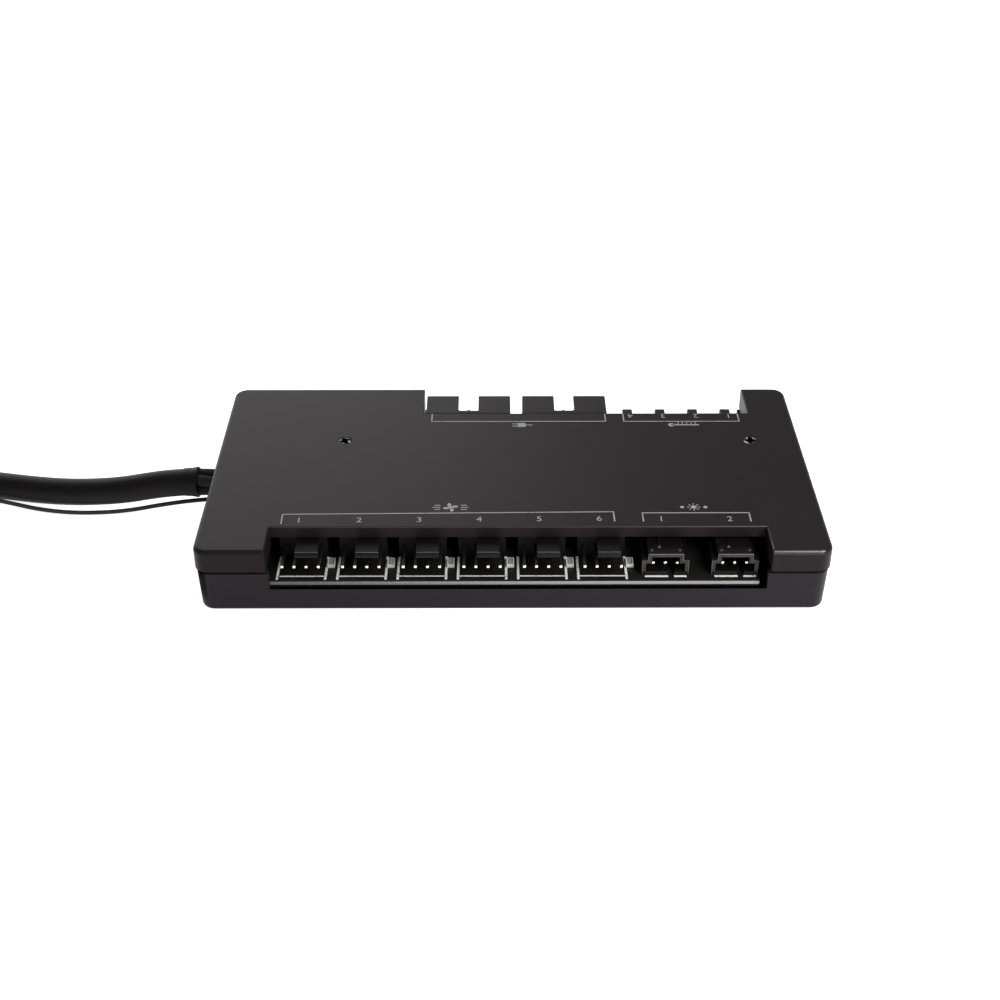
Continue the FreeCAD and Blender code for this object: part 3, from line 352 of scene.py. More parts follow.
@dataclass(frozen=True)
class RimFinish(Finish):
    """Resin with a painted highlight on its front rim.

    Attributes:
        rim_highlight_colour: Colour of the painted highlight on the rim.
        rim_shade: How much of that colour is left where the rim is darkest.
        rim_span: Noise values between which it clears up.
        rim_reach: Distance from the middle beyond which the rim lies.
        rim_floor: Height above which the highlight is painted.
    """

    rim_highlight_colour: Colour = (0.036, 0.035, 0.033)
    rim_shade: float = 0.6
    rim_span: Pair = (0.3, 0.6)
    rim_reach: float = 30.55 * MM
    rim_floor: float = 7.7 * MM

    def paint(self, bench: ShaderBench) -> Signal:
        """Paint resin with a painted highlight on the rim around its mouth.

        Args:
            bench: The material under way.

        Returns:
            The colour.
        """
        place = bench.parts(bench.place())
        front = bench.maths("LESS_THAN", place["Y"], -self.rim_reach)
        raised = bench.maths("GREATER_THAN", place["Z"], self.rim_floor)
        shade = scaled(self.rim_highlight_colour, self.rim_shade)
        # Painted highlight on the rim, broken up by noise.
        painted_highlight = bench.ramp(bench.noise(self.sheen_size), shade, self.rim_highlight_colour, self.rim_span)
        return bench.blend(bench.maths("MULTIPLY", front, raised), super().paint(bench), painted_highlight)


@dataclass(frozen=True)
class InkFinish(Finish):
    """Printed ink with small spots where it has thinned from wear.

    Attributes:
        worn_colour: Colour of the thin spots.
        worn_span: Noise values between which the ink thins out.
        spot: Size of the thin spots.
    """

    worn_colour: Colour = (0.12, 0.12, 0.12)
    worn_span: Pair = (0.28, 0.45)
    spot: float = 0.7 * MM

    def paint(self, bench: ShaderBench) -> Signal:
        """Return the ink's colour, with spots where it is thin."""
        spots = bench.noise(self.spot, PATCH_OCTAVES)
        return bench.ramp(spots, self.worn_colour, self.colour, self.worn_span)


MOULDED = {"grain": 0.22 * MM, "drift": 0.06, "sheen": 0.02}
RESIN = {"grain": 0.2 * MM, "depth": 0.006 * MM}
PLATED = {"relief": Relief.BRUSHED, "grain": 0.1 * MM, "depth": 0.002 * MM}
THIN_INK = {"grain": 0.2 * MM, "depth": 0.004 * MM}
TURNED = {"relief": Relief.RINGED, "grain": 0.12 * MM, "depth": 0.003 * MM}
FIRED = {"grain": 0.2 * MM, "depth": 0.003 * MM}

COVER = Finish("cover_grain", "cover_plastic", (0.012, 0.009, 0.0103), 0.38, specular=0.09,
               tint=(1.0, 0.83, 0.88), **MOULDED)
COVER_EDGE = Finish("cover_polished_edge", "cover_plastic", (0.013, 0.0098, 0.0112), 0.3,
                    tint=(1.0, 0.94, 0.96), depth=0.006 * MM, **MOULDED)
TRAY = Finish("tray_grain", "tray_plastic", (0.0158, 0.0126, 0.0164), 0.38, specular=0.085,
              tint=(1.0, 0.9, 0.98), **MOULDED)
SOCKET = Finish("socket_resin", "socket_plastic", (0.003, 0.0024, 0.0023), 0.5, specular=0.16,
                **RESIN)
# Painted highlight on the eased edges of sockets, far lighter than their resin.
SOCKET_EDGE = Finish("socket_edge_highlight", "socket_plastic", (0.085, 0.083, 0.078), 0.4, drift=0.35,
                     **RESIN)
# Resin with a painted highlight on the front rim of the light sockets.
LIGHT_SOCKET = RimFinish("rimmed_socket_resin", "socket_plastic", SOCKET.colour, SOCKET.roughness,
                         specular=SOCKET.specular, **RESIN)
SOCKET_BACK = Finish("rear_socket_resin", "socket_plastic", (0.0135, 0.0103, 0.0117), 0.42,
                     specular=0.1, **RESIN)
PIN = Finish("bright_tin", "pin_metal", (0.88, 0.87, 0.84), 0.36, metallic=1.0, drift=0.05,
             **PLATED)
# Pin shafts are painted dark as the shade of the tongues over them; only the tips keep bright tin.
PIN_SHAFT = Finish("shaded_tin", "pin_metal", (0.05, 0.048, 0.045), 0.4, metallic=0.9, drift=0.2,
                   **PLATED)
# Black mask with bare laminate edges, and painted shade on some of its edges.
BOARD = BoardFinish("black_mask", "board_laminate", (0.0085, 0.008, 0.007), 0.4, specular=0.3,
                    grain=0.5 * MM, depth=0.004 * MM)
# White silk print, also used for the painted highlights before the light sockets.
SILK_AND_HIGHLIGHT = InkFinish("board_silk_and_highlight", "board_laminate", (0.72, 0.73, 0.7), 0.7, **THIN_INK)
PRINT = InkFinish("cover_ink", "cover_plastic", (0.27, 0.265, 0.27), 0.65,
                  worn_colour=(0.1, 0.1, 0.1), **THIN_INK)
STEEL = Finish("black_steel", "screw_steel", (0.032, 0.03, 0.031), 0.36, metallic=0.6, **TURNED)
# Painted glints on some quarters of the screw heads.
STEEL_GLINT = Finish("steel_glint", "screw_steel", (0.34, 0.33, 0.33), 0.35, metallic=0.3, drift=0.3,
                    **TURNED)
# Painted shade on the walls and floor of the cross recess, darker than the steel.
RECESS_SHADE = Finish("screw_recess", "screw_steel", (0.006, 0.006, 0.006), 0.5, metallic=0.5,
                grain=0.12 * MM, depth=0.003 * MM)
FUSE = Finish("fuse_frame", "fuse_ceramic", (0.72, 0.73, 0.69), 0.4, **FIRED)
FUSE_MOAT = Finish("fuse_moat", "fuse_ceramic", (0.09, 0.092, 0.086), 0.4, **FIRED)
FUSE_CORE = Finish("fuse_core", "fuse_ceramic", (0.33, 0.34, 0.32), 0.3, **FIRED)
CHIP = Finish("chip_resin", "chip_resin", (0.012, 0.012, 0.013), 0.5, grain=0.1 * MM,
              depth=0.004 * MM)
CAN = Finish("drawn_can", "can_metal", (0.68, 0.68, 0.7), 0.3, metallic=1.0,
             relief=Relief.BRUSHED, depth=0.003 * MM)
WIRE = Finish("wire_skin", "wire_skin", (0.003, 0.0024, 0.0025), 0.5, specular=0.08,
              grain=0.4 * MM, depth=0.006 * MM)
SLEEVE = Finish("shrunk_sleeve", "sleeve", (0.0045, 0.0034, 0.0036), 0.5, specular=0.14,
                grain=1.1 * MM, depth=0.05 * MM)
NYLON = Finish("tie_nylon", "tie_nylon", (0.009, 0.009, 0.009), 0.38)
PLUG = Finish("plug_resin", "plug_plastic", (0.008, 0.008, 0.008), 0.45, grain=0.25 * MM)
CONTACT = Finish("contact_plate", "contact_metal", (0.83, 0.63, 0.28), 0.25, metallic=1.0,
                 relief=Relief.BRUSHED, grain=0.2 * MM, depth=0.003 * MM)


def mesh_of(name: str, form: Form) -> bpy.types.Mesh:
    """Turn a form into a mesh and free it.

    Args:
        name: The mesh's name.
        form: The form.

    Returns:
        The mesh.
    """
    mesh = bpy.data.meshes.new(name)
    form.to_mesh(mesh)
    form.free()
    return mesh


def stand(name: str, data: bpy.types.ID) -> Item:
    """Stand an object in the scene.

    Args:
        name: Its name.
        data: Its mesh, curve, lamp or camera.

    Returns:
        The object.
    """
    item = bpy.data.objects.new(name, data)
    bpy.context.scene.collection.objects.link(item)
    return item


def top_of(node: str) -> float:
    """Return the height of a node's top."""
    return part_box(node)[1].z


def edges_at(verts: Iterable[Vert]) -> list[Edge]:
    """Return the edges that end at some vertices."""
    return list({edge for vertex in verts for edge in vertex.link_edges})


def round_edges(form: Form, edges: list[Edge], width: float, segments: int = 2,
                clamp: bool = True) -> list[Face]:
    """Round edges of a form and return the new faces."""
    return bmesh.ops.bevel(form, geom=edges, offset=width, offset_type="OFFSET", affect="EDGES",
                           segments=segments, profile=0.5, material=-1,
                           clamp_overlap=clamp)["faces"]


def bar(form: Form, low: Point, high: Point) -> None:
    """Add a box between two corners to a form.

    Args:
        form: The form that grows.
        low: Its lowest corner.
        high: Its highest corner.
    """
    first, last = Vector(low), Vector(high)
    place = Matrix.Translation((first + last) / 2) @ Matrix.Diagonal((*(last - first), 1.0))
    bmesh.ops.create_cube(form, size=1.0, matrix=place)


@dataclass
class Workshop:
    """Makes finished pieces and dresses the frame's own nodes.

    Attributes:
        nodes: The frame's node objects by name.
        smooth_angle: Edges that turn by more than this stay sharp.
        ease_angle: Edges that turn by more than this are eased.
        flat_angle: Faces that turn by less than this are one face.
        upward: Upward part of both normals together beyond which an edge is an upper one.
    """

    nodes: dict[str, Item]
    smooth_angle: float = math.radians(32.0)
    ease_angle: float = math.radians(30.0)
    flat_angle: float = math.radians(1.0)
    upward: float = 0.5

    def dress(self, finish: Finish, *names: str) -> None:
        """Give nodes of the frame a finish.

        Args:
            finish: The finish.
            names: The nodes' names.
        """
        for name in names:
            slots = self.nodes[name].data.materials
            slots.clear()
            slots.append(finish.material())
            LOG.info("dressed %s with %s", name, finish.name)

    def copy(self, node: str) -> Form:
        """Copy a node's mesh as one joined form.

        Args:
            node: The node's name.

        Returns:
            The form.
        """
        form = bmesh.new()
        form.from_mesh(self.nodes[node].data)
        bmesh.ops.remove_doubles(form, verts=form.verts, dist=WELD)
        bmesh.ops.dissolve_limit(form, angle_limit=self.flat_angle, verts=form.verts,
                                 edges=form.edges)
        return form

    def ease(self, form: Form, width: float, clamp: bool = True, upper: bool = False) -> list[Face]:
        """Ease the sharp edges of a form.

        Args:
            form: The form.
            width: Width of the eased edges.
            clamp: Whether short edges limit the width.
            upper: Whether only edges that face upward are eased.

        Returns:
            The faces of the eased edges.
        """
        form.normal_update()
        sharp = [edge for edge in form.edges
                 if edge.is_manifold and edge.calc_face_angle(0.0) > self.ease_angle]
        if upper:
            sharp = [edge for edge in sharp
                     if sum(face.normal.z for face in edge.link_faces) > self.upward]
        eased = round_edges(form, sharp, width, clamp=clamp)
        form.normal_update()
        return eased

    def piece(self, name: str, form: Form, finishes: list[Finish], *stands_for: str) -> Item:
        """Turn a form into a piece of the object.

        Args:
            name: The piece's name.
            form: Its shape, which is freed.
            finishes: Its finishes, in the order of the faces' material index.
            stands_for: Nodes of the frame that it takes the place of.

        Returns:
            The piece.
        """
        bmesh.ops.recalc_face_normals(form, faces=form.faces)
        mesh = mesh_of(name, form)
        mesh.shade_smooth()
        mesh.set_sharp_from_angle(angle=self.smooth_angle)
        for finish in finishes:
            mesh.materials.append(finish.material())
        item = stand(name, mesh)
        item.modifiers.new("even_shade", "WEIGHTED_NORMAL").keep_sharp = True
        return self.fit(item, finishes[0], *stands_for)

    def fit(self, item: Item, finish: Finish, *stands_for: str) -> Item:
        """Let a piece ride on the object.

        Args:
            item: The piece.
            finish: Its main finish; not used.
            stands_for: Nodes of the frame that it takes the place of.

        Returns:
            The same piece.
        """
        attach(item, BODY)
        if stands_for:
            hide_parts(*stands_for)
        LOG.info("made %s", item.name)
        return item

    def eased(self, node: str, name: str, finish: Finish, width: float) -> Item:
        """Copy a node with its sharp edges eased, and let the copy stand for it.

        Args:
            node: The node's name.
            name: The new piece's name.
            finish: Its finish.
            width: Width of the eased edges.

        Returns:
            The piece.
        """
        form = self.copy(node)
        self.ease(form, width)
        return self.piece(name, form, [finish], node)


@dataclass
class CaseShells:
    """The two shells of the case.

    Attributes:
        shop: The workshop.
        sill_height: Height of the tray's front sill in the frame.
        sill_room: How far from that height its vertices may lie.
        sill_drop: How much lower the sill's front edge lies.
        sill_slope: How steeply the sill falls inward.
        edge_facing: Upward part of the normal, least and most, on the cover's rounded edges.
        polished_from: Distance from the middle beyond which the front edges are polished.
        polished_span: Left and right limit of the stretch over which they are.
        wall_reach: Distance from the middle beyond which the front wall lies.
        ink_room: How much lower the cover's top lies than in the frame, for the ink on it.
    """

    shop: Workshop
    sill_height: float = 5.95 * MM
    sill_room: float = 0.01 * MM
    sill_drop: float = 0.3 * MM
    sill_slope: float = 0.75
    edge_facing: Pair = (0.1, 0.98)
    polished_from: float = 24.0 * MM
    polished_span: Pair = (-50.5 * MM, 64.5 * MM)
    wall_reach: float = 32.0 * MM
    ink_room: float = 0.015 * MM

    def build(self) -> None:
        """Make both shells."""
        self.cover()
        self.tray()

    def cover(self) -> None:
        """Make the cover, whose upper edges around the front bay are polished by handling."""
        form = self.shop.copy("top_cover")
        top = top_of("top_cover")
        flat = [vertex for vertex in form.verts if vertex.co.z > top - WELD]
        bmesh.ops.translate(form, verts=flat, vec=(0.0, 0.0, -self.ink_room))
        form.normal_update()
        least, most = self.edge_facing
        left, right = self.polished_span
        for face in form.faces:
            place = face.calc_center_median()
            near_bay = place.y < -self.polished_from and left < place.x < right
            if near_bay and least < face.normal.z < most:
                face.material_index = 1
        self.shop.piece("cover_shell", form, [COVER, COVER_EDGE], "top_cover")

    def tray(self) -> None:
        """Make the tray with its lower front sill."""
        form = self.shop.copy("base_tray")
        sill = [vertex for vertex in form.verts if vertex.co.y < -self.wall_reach
                and abs(vertex.co.z - self.sill_height) < self.sill_room]
        front = min(vertex.co.y for vertex in sill)
        lower = Matrix.Identity(4)
        lower[2][1] = -self.sill_slope
        lower[2][3] = self.sill_slope * front - self.sill_drop
        bmesh.ops.transform(form, matrix=lower, verts=sill)
        self.shop.piece("drafted_tray", form, [TRAY], "base_tray")


@dataclass(frozen=True)
class Bracket:
    """A printed bracket over a row of sockets, in millimetres.

    Attributes:
        left: Left end.
        right: Right end.
        line: Where the long line lies.
        feet: Where the legs end.
        tilt: Turn about its middle, as it was printed.
    """

    left: float
    right: float
    line: float
    feet: float
    tilt: float = 0.0


@dataclass(frozen=True)
class NumeralRow:
    """A row of printed numerals, in millimetres.

    Attributes:
        text: The numerals from left to right.
        first: Middle of the first.
        step: From one to the next.
        along: Where the row lies.
        turn: Turn of each about the vertical.
        rise: From one to the next along.
    """

    text: str
    first: float
    step: float
    along: float
    turn: float = 0.0
    rise: float = 0.0


@dataclass
class PrintedMarks:
    """Brackets, numerals and pictograms printed on the cover, placed in millimetres.

    Attributes:
        shop: The workshop.
        line: Width of the bracket lines.
        thin: Width of the pictograms' thin lines.
        ink: Thickness of the ink in metres.
        disc_sides: Sides of a printed disc.
        numeral_size: Size of the numerals.
        numeral_steps: Steps of a numeral's curves.
        numeral_weld: Distance in metres at which a numeral's points are joined.
        brackets: The brackets.
        rows: The rows of numerals.
        rotor_at: Middle of the rotor.
        lamp_at: Middle of the lamp.
        prongs_at: Middle of the plug.
        thermometer_at: Middle of the thermometer.
        form: The print under way.
    """

    shop: Workshop
    line: float = 0.3
    thin: float = 0.24
    ink: float = 0.03 * MM
    disc_sides: int = 28
    numeral_size: float = 2.6
    numeral_steps: int = 4
    numeral_weld: float = 0.1 * WELD
    brackets: tuple[Bracket, ...] = (
        Bracket(-49.1, 21.6, -20.15, -23.85, math.radians(0.65)),
        Bracket(27.75, 50.6, -20.2, -23.5),
        Bracket(-18.5, 22.3, 18.5, 22.0),
        Bracket(26.6, 53.7, 18.45, 22.0),
    )
    rows: tuple[NumeralRow, ...] = (
        NumeralRow("123456", -45.4, 12.76, -22.95, rise=0.11),
        NumeralRow("12", 31.6, 14.6, -22.6),
        NumeralRow("4321", 28.3, 7.73, 21.1, math.pi),
    )
    rotor_at: Pair = (-13.3, -17.95)
    lamp_at: Pair = (39.0, -18.0)
    prongs_at: Pair = (2.6, 16.85)
    thermometer_at: Pair = (40.5, 16.85)
    form: Form = field(default_factory=bmesh.new)

    def build(self) -> None:
        """Print all marks as one piece."""
        for bracket in self.brackets:
            self.bracket(bracket)
        for row in self.rows:
            for index, numeral in enumerate(row.text):
                middle = (row.first + index * row.step, row.along + index * row.rise)
                self.numeral(numeral, middle, row.turn)
        self.rotor()
        self.lamp()
        self.prongs()
        self.thermometer()
        self.shop.piece("cover_print", self.form, [PRINT])

    def centre(self, place: Pair) -> Matrix:
        """Return the move to a place in the middle of the ink."""
        height = top_of("top_cover") - self.ink / 2
        return Matrix.Translation((place[0] * MM, place[1] * MM, height))

    def stroke(self, middle: Pair, length: float, width: float, turn: float = 0.0,
               pivot: Pair = (0.0, 0.0)) -> None:
        """Print a filled rectangle, turned about a pivot.

        Args:
            middle: Its middle before it is turned.
            length: Its size across.
            width: Its size along.
            turn: Turn about the pivot.
            pivot: The pivot's place.
        """
        about = self.centre(pivot)
        move = about @ Matrix.Rotation(turn, 4, "Z") @ about.inverted() @ self.centre(middle)
        size = Matrix.Diagonal((length * MM, width * MM, self.ink, 1.0))
        bmesh.ops.create_cube(self.form, size=1.0, matrix=move @ size)

    def spot(self, middle: Pair, radius: float, shape: Matrix = UNCHANGED) -> None:
        """Print a filled disc, whose shape may change about its middle."""
        bmesh.ops.create_cone(self.form, cap_ends=True, segments=self.disc_sides,
                              radius1=radius * MM, radius2=radius * MM, depth=self.ink,
                              matrix=self.centre(middle) @ shape)

    def bracket(self, mark: Bracket) -> None:
        """Print a bracket: a long line with a leg at each end.

        Args:
            mark: The bracket.
        """
        middle = ((mark.left + mark.right) / 2, mark.line)
        self.stroke(middle, mark.right - mark.left + self.line, self.line, mark.tilt, middle)
        for across in (mark.left, mark.right):
            leg = (across, (mark.line + mark.feet) / 2)
            self.stroke(leg, self.line, abs(mark.feet - mark.line), mark.tilt, middle)

    def numeral(self, text: str, middle: Pair, turn: float) -> None:
        """Print a numeral.

        Args:
            text: The numeral.
            middle: Its middle.
            turn: Turn about the vertical.
        """
        curve = bpy.data.curves.new("numeral", "FONT")
        curve.body = text
        curve.size = self.numeral_size * MM
        curve.align_x, curve.align_y = "CENTER", "CENTER"
        curve.extrude = self.ink / 2
        curve.resolution_u = self.numeral_steps
        holder = bpy.data.objects.new("numeral", curve)
        mesh = bpy.data.meshes.new_from_object(holder)
        mesh.transform(self.centre(middle) @ Matrix.Rotation(turn, 4, "Z"))
        self.form.from_mesh(mesh)
        bmesh.ops.remove_doubles(self.form, verts=self.form.verts, dist=self.numeral_weld)
        bpy.data.objects.remove(holder)
        bpy.data.curves.remove(curve)
        bpy.data.meshes.remove(mesh)

    def rotor(self) -> None:
        """Print a four-bladed rotor with three streaks of air on each side."""
        across, along = self.rotor_at
        hub, blades, blade, reach, skew, slim = 0.4, 4, 0.68, 0.95, 0.3, 0.62
        self.spot(self.rotor_at, hub)
        outward = Matrix.Translation((reach * MM, skew * MM, 0.0))
        leaf = outward @ Matrix.Diagonal((1.0, slim, 1.0, 1.0))
        for index in range(blades):
            turn = Matrix.Rotation(index * 2.0 * math.pi / blades, 4, "Z")
            self.spot(self.rotor_at, blade, turn @ leaf)
        start, end, spread = 2.2, 3.9, 0.8
        for side in (-1.0, 1.0):
            for level in (-spread, 0.0, spread):
                length = end - abs(level) / 2 - start
                middle = (across + side * (start + length / 2), along + level)
                self.stroke(middle, length, self.thin)

    def lamp(self) -> None:
        """Print a round lamp with eight rays and a small lamp on each side."""
        across, along = self.lamp_at
        bulb, small, apart, rays, ray, ray_at = 0.62, 0.45, 2.5, 8, 0.5, 1.15
        self.spot(self.lamp_at, bulb)
        for index in range(rays):
            turn = index * 2.0 * math.pi / rays
            self.stroke((across + ray_at, along), ray, self.thin, turn, self.lamp_at)
        for side in (-apart, apart):
            self.spot((across + side, along), small)

    def prongs(self) -> None:
        """Print a plug with two prongs and a piece of cord."""
        across, along = self.prongs_at
        body, prong, prong_at, apart, cord, cord_at = 1.8, 1.3, -1.55, 0.5, 1.6, 1.7
        self.stroke(self.prongs_at, body, body)
        for side in (-apart, apart):
            self.stroke((across + prong_at, along + side), prong, self.line)
        self.stroke((across + cord_at, along), cord, self.line)

    def thermometer(self) -> None:
        """Print a lying thermometer with its scale."""
        across, along = self.thermometer_at
        bulb, bulb_at, stem, stem_at, stem_width = 0.75, -2.9, 6.5, 0.35, 0.5
        self.spot((across + bulb_at, along), bulb)
        self.stroke((across + stem_at, along), stem, stem_width)
        tick, tick_at = 0.75, 0.925
        for place in (-1.2, -0.2, 0.8, 1.8, 2.8):
            self.stroke((across + place, along + tick_at), self.thin, tick)


@dataclass
class CoverScrews:
    """Two domed screws with a cross recess, in place of the plain ones, with painted shade in the
    recess and painted glints on the heads.

    Attributes:
        shop: The workshop.
        sides: Sides of the round forms.
        head_radius: Radius of the head.
        frame_radius: Radius of the plain head in the frame.
        frame_head: Height of the plain head in the frame.
        shank_radius: Radius of the shank.
        head_edge: Rounding of the head's rim.
        edge_steps: Steps of that rounding.
        below_top: From the cover's top down to the head's.
        cross_reach: Reach of the cross from the middle.
        cross_depth: Depth of the cross.
        cross_taper: Size of the cross at its floor, as a share of that at its top.
        point: Length of the shank's point.
        turns: Turn of the left and the right cross.
        glints: Directions of the quarters of the left and the right head that carry a painted glint.
    """

    shop: Workshop
    sides: int = 40
    head_radius: float = 1.66 * MM
    frame_radius: float = 1.5 * MM
    frame_head: float = 1.2 * MM
    shank_radius: float = 0.9 * MM
    head_edge: float = 0.4 * MM
    edge_steps: int = 4
    below_top: float = 0.05 * MM
    cross_reach: float = 1.25 * MM
    cross_depth: float = 0.8 * MM
    cross_taper: float = 0.6
    point: float = 0.5 * MM
    turns: Pair = (0.5, -0.1)
    glints: tuple[tuple[Pair, ...], ...] = (
        ((1.0, -1.0),),
        ((1.0, 1.0), (-1.0, 1.0), (-1.0, -1.0)),
    )

    def build(self) -> None:
        """Make both screws as one piece."""
        low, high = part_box("cover_screws")
        seat = high.z - self.frame_head
        top = top_of("top_cover") - self.below_top
        along = (low.y + high.y) / 2
        form = bmesh.new()
        middles = (low.x + self.frame_radius, high.x - self.frame_radius)
        for across, turn, glints in zip(middles, self.turns, self.glints):
            place = Matrix.Translation((across, along, top)) @ Matrix.Rotation(turn, 4, "Z")
            self.screw(form, place, seat - top, low.z - top, glints)
        self.shop.piece("cross_screws", form, [STEEL, RECESS_SHADE, STEEL_GLINT], "cover_screws")

    def screw(self, whole: Form, place: Matrix, seat: float, tip: float,
              glints: tuple[Pair, ...]) -> None:
        """Add one screw whose head's top lies in the local base plane.

        Args:
            whole: The form that grows.
            place: Where the screw stands.
            seat: Height of the head's underside.
            tip: Height of the shank's tip.
            glints: Directions of the head's quarters that carry a painted glint, in its own turn.
        """
        form = bmesh.new()
        cells = 3
        bmesh.ops.create_grid(form, x_segments=cells, y_segments=cells, size=self.cross_reach)
        arm = self.cross_reach / cells
        corners = [face for face in form.faces
                   if min(abs(part) for part in face.calc_center_median().xy) > arm]
        bmesh.ops.delete(form, geom=corners, context="FACES")
        cross = form.faces[:]
        cross_edges = [edge for edge in form.edges if edge.is_boundary]
        rim = edges_at(bmesh.ops.create_circle(form, cap_ends=False, segments=self.sides,
                                               radius=self.head_radius)["verts"])
        for face in bmesh.ops.bridge_loops(form, edges=rim + cross_edges)["faces"]:
            middle = face.calc_center_median()
            # Quarters of the head that carry a painted glint.
            if any(min(middle.x * right, middle.y * back) > arm for right, back in glints):
                face.material_index = 2
        lowered = bmesh.ops.extrude_face_region(form, geom=cross)["geom"]
        floor = [item for item in lowered if isinstance(item, Vert)]
        bmesh.ops.delete(form, geom=cross, context="FACES_ONLY")
        bmesh.ops.translate(form, verts=floor, vec=(0.0, 0.0, -self.cross_depth))
        bmesh.ops.scale(form, verts=floor, vec=(self.cross_taper, self.cross_taper, 1.0))
        # The cross's walls and floor get the painted shade.
        for face in {face for vertex in floor for face in vertex.link_faces}:
            face.material_index = 1
        self.grow_shank(form, rim, seat, tip)
        bmesh.ops.recalc_face_normals(form, faces=form.faces)
        round_edges(form, rim, self.head_edge, self.edge_steps)
        bmesh.ops.transform(form, matrix=place, verts=form.verts)
        mesh = mesh_of("screw", form)
        whole.from_mesh(mesh)
        bpy.data.meshes.remove(mesh)

    def grow_shank(self, form: Form, rim: list[Edge], seat: float, tip: float) -> None:
        """Grow the head's side, the shank and its point from the head's rim.

        Args:
            form: The screw under way.
            rim: The rim's edges.
            seat: Height of the head's underside.
            tip: Height of the shank's tip.
        """
        radius, shank = self.head_radius, self.shank_radius
        for next_radius, height in ((radius, seat), (shank, seat), (shank, tip + self.point),
                                    (shank / 2, tip)):
            grown = bmesh.ops.extrude_edge_only(form, edges=rim)["geom"]
            rim = [item for item in grown if isinstance(item, Edge)]
            ring = [item for item in grown if isinstance(item, Vert)]
            growth = next_radius / radius
            bmesh.ops.scale(form, verts=ring, vec=(growth, growth, 1.0))
            bmesh.ops.translate(form, verts=ring, vec=(0.0, 0.0, height - ring[0].co.z))
            radius = next_radius
        bmesh.ops.edgenet_fill(form, edges=rim)


@dataclass(frozen=True)
class SocketKind:
    """A kind of socket.

    Attributes:
        name: First word of its nodes' names.
        count: How many there are.
        resin: Finish of its body.
        mouth: -1 where the pins point forward, 1 where they point back.
        latched: Whether it has a locking tongue, whose upper edge carries a painted highlight.
        rimmed: Whether the outer edges of its mouth carry a painted highlight.
        trim: Length by which its pins are shorter than in the frame.
        settle: How much lower its mouth's upper part lies than in the frame.
    """

    name: str
    count: int
    resin: Finish
    mouth: float
    latched: bool = False
    rimmed: bool = False
    trim: float = 0.0
    settle: float = 0.0


@dataclass
class Sockets:
    """All sockets and their pins, with eased edges that catch the light; some edges carry a painted
    highlight.

    Attributes:
        shop: The workshop.
        resin_edge: Width of the eased edges on the resin.
        pin_edge: Width of the eased edges on the pins.
        pin_tip: Length of the pins' bright tips.
        highlight_limit: How closely a tongue's edge has to face up and outward to get the painted
            highlight.
        highlight_depth: Depth below a tongue's top in which its edge gets the painted highlight.
        rim_limit: How closely a rim's edge has to face the mouth's side, and outward, to get the
            painted highlight.
        upper_from: Height above which a mouth's upper part lies.
        kinds: The kinds of socket.
    """

    shop: Workshop
    resin_edge: float = 0.14 * MM
    pin_edge: float = 0.12 * MM
    pin_tip: float = 0.35 * MM
    highlight_limit: float = 0.85
    highlight_depth: float = 0.25 * MM
    rim_limit: float = 0.3
    upper_from: float = 9.9 * MM
    kinds: tuple[SocketKind, ...] = (
        SocketKind("fan", FANS, SOCKET, -1.0, latched=True),
        SocketKind("led", LIGHTS, LIGHT_SOCKET, -1.0, rimmed=True, settle=0.38 * MM),
        SocketKind("data", 2, SOCKET_BACK, 1.0, trim=1.0 * MM),
        SocketKind("temp", 4, SOCKET_BACK, 1.0, latched=True),
    )

    def build(self) -> None:
        """Make every socket and its pins."""
        for kind in self.kinds:
            for number in range(1, kind.count + 1):
                self.housing(kind, number)
                self.pins(kind, number)

    def housing(self, kind: SocketKind, number: int) -> None:
        """Make one socket's body.

        Args:
            kind: The kind of socket.
            number: Its number in its row.
        """
        node = f"{kind.name}_header_{number}"
        form = self.shop.copy(node)
        upper = [vertex for vertex in form.verts if vertex.co.z > self.upper_from]
        bmesh.ops.translate(form, verts=upper, vec=(0.0, 0.0, -kind.settle))
        # Eased edges that get the painted highlight take the second finish.
        for face in self.shop.ease(form, self.resin_edge, clamp=False, upper=kind.latched):
            if self.is_highlit(kind, face, *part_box(node)):
                face.material_index = 1
        name = f"{kind.name}_socket_{number}"
        self.shop.piece(name, form, [kind.resin, SOCKET_EDGE], node)

    def is_highlit(self, kind: SocketKind, face: Face, low: Vector, high: Vector) -> bool:
        """Tell whether an eased edge gets the painted highlight.

        Args:
            kind: The kind of socket.
            face: A face of the edge.
            low: The socket's lowest corner.
            high: The socket's highest corner.

        Returns:
            True for a tongue's upper edge and for the outer edges of a rimmed mouth.
        """
        place = face.calc_center_median()
        if kind.latched:
            lit_side = Vector((0.0, kind.mouth, 1.0)).normalized()
            near_top = place.z > high.z - self.highlight_depth
            return near_top and face.normal.dot(lit_side) > self.highlight_limit
        outward = place - (low + high) / 2
        outward.y = 0.0
        at_mouth = kind.mouth * face.normal.y > self.rim_limit
        return kind.rimmed and at_mouth and face.normal.dot(outward.normalized()) > self.rim_limit

    def pins(self, kind: SocketKind, number: int) -> None:
        """Make one socket's pins, painted dark as shade along their shafts and bright at their tips.

        Args:
            kind: The kind of socket.
            number: Its number in its row.
        """
        node = f"{kind.name}_pins_{number}"
        form = self.shop.copy(node)
        end = max(kind.mouth * vertex.co.y for vertex in form.verts) - kind.trim
        tips = [vertex for vertex in form.verts if kind.mouth * vertex.co.y > end]
        bmesh.ops.translate(form, verts=tips, vec=(0.0, -kind.mouth * kind.trim, 0.0))
        self.shop.ease(form, self.pin_edge)
        # Faces at the tips keep bright tin; the shafts keep the painted shade.
        for face in form.faces:
            if min(kind.mouth * vertex.co.y for vertex in face.verts) > end - self.pin_tip:
                face.material_index = 1
        self.shop.piece(f"{kind.name}_pin_row_{number}", form, [PIN_SHAFT, PIN], node)


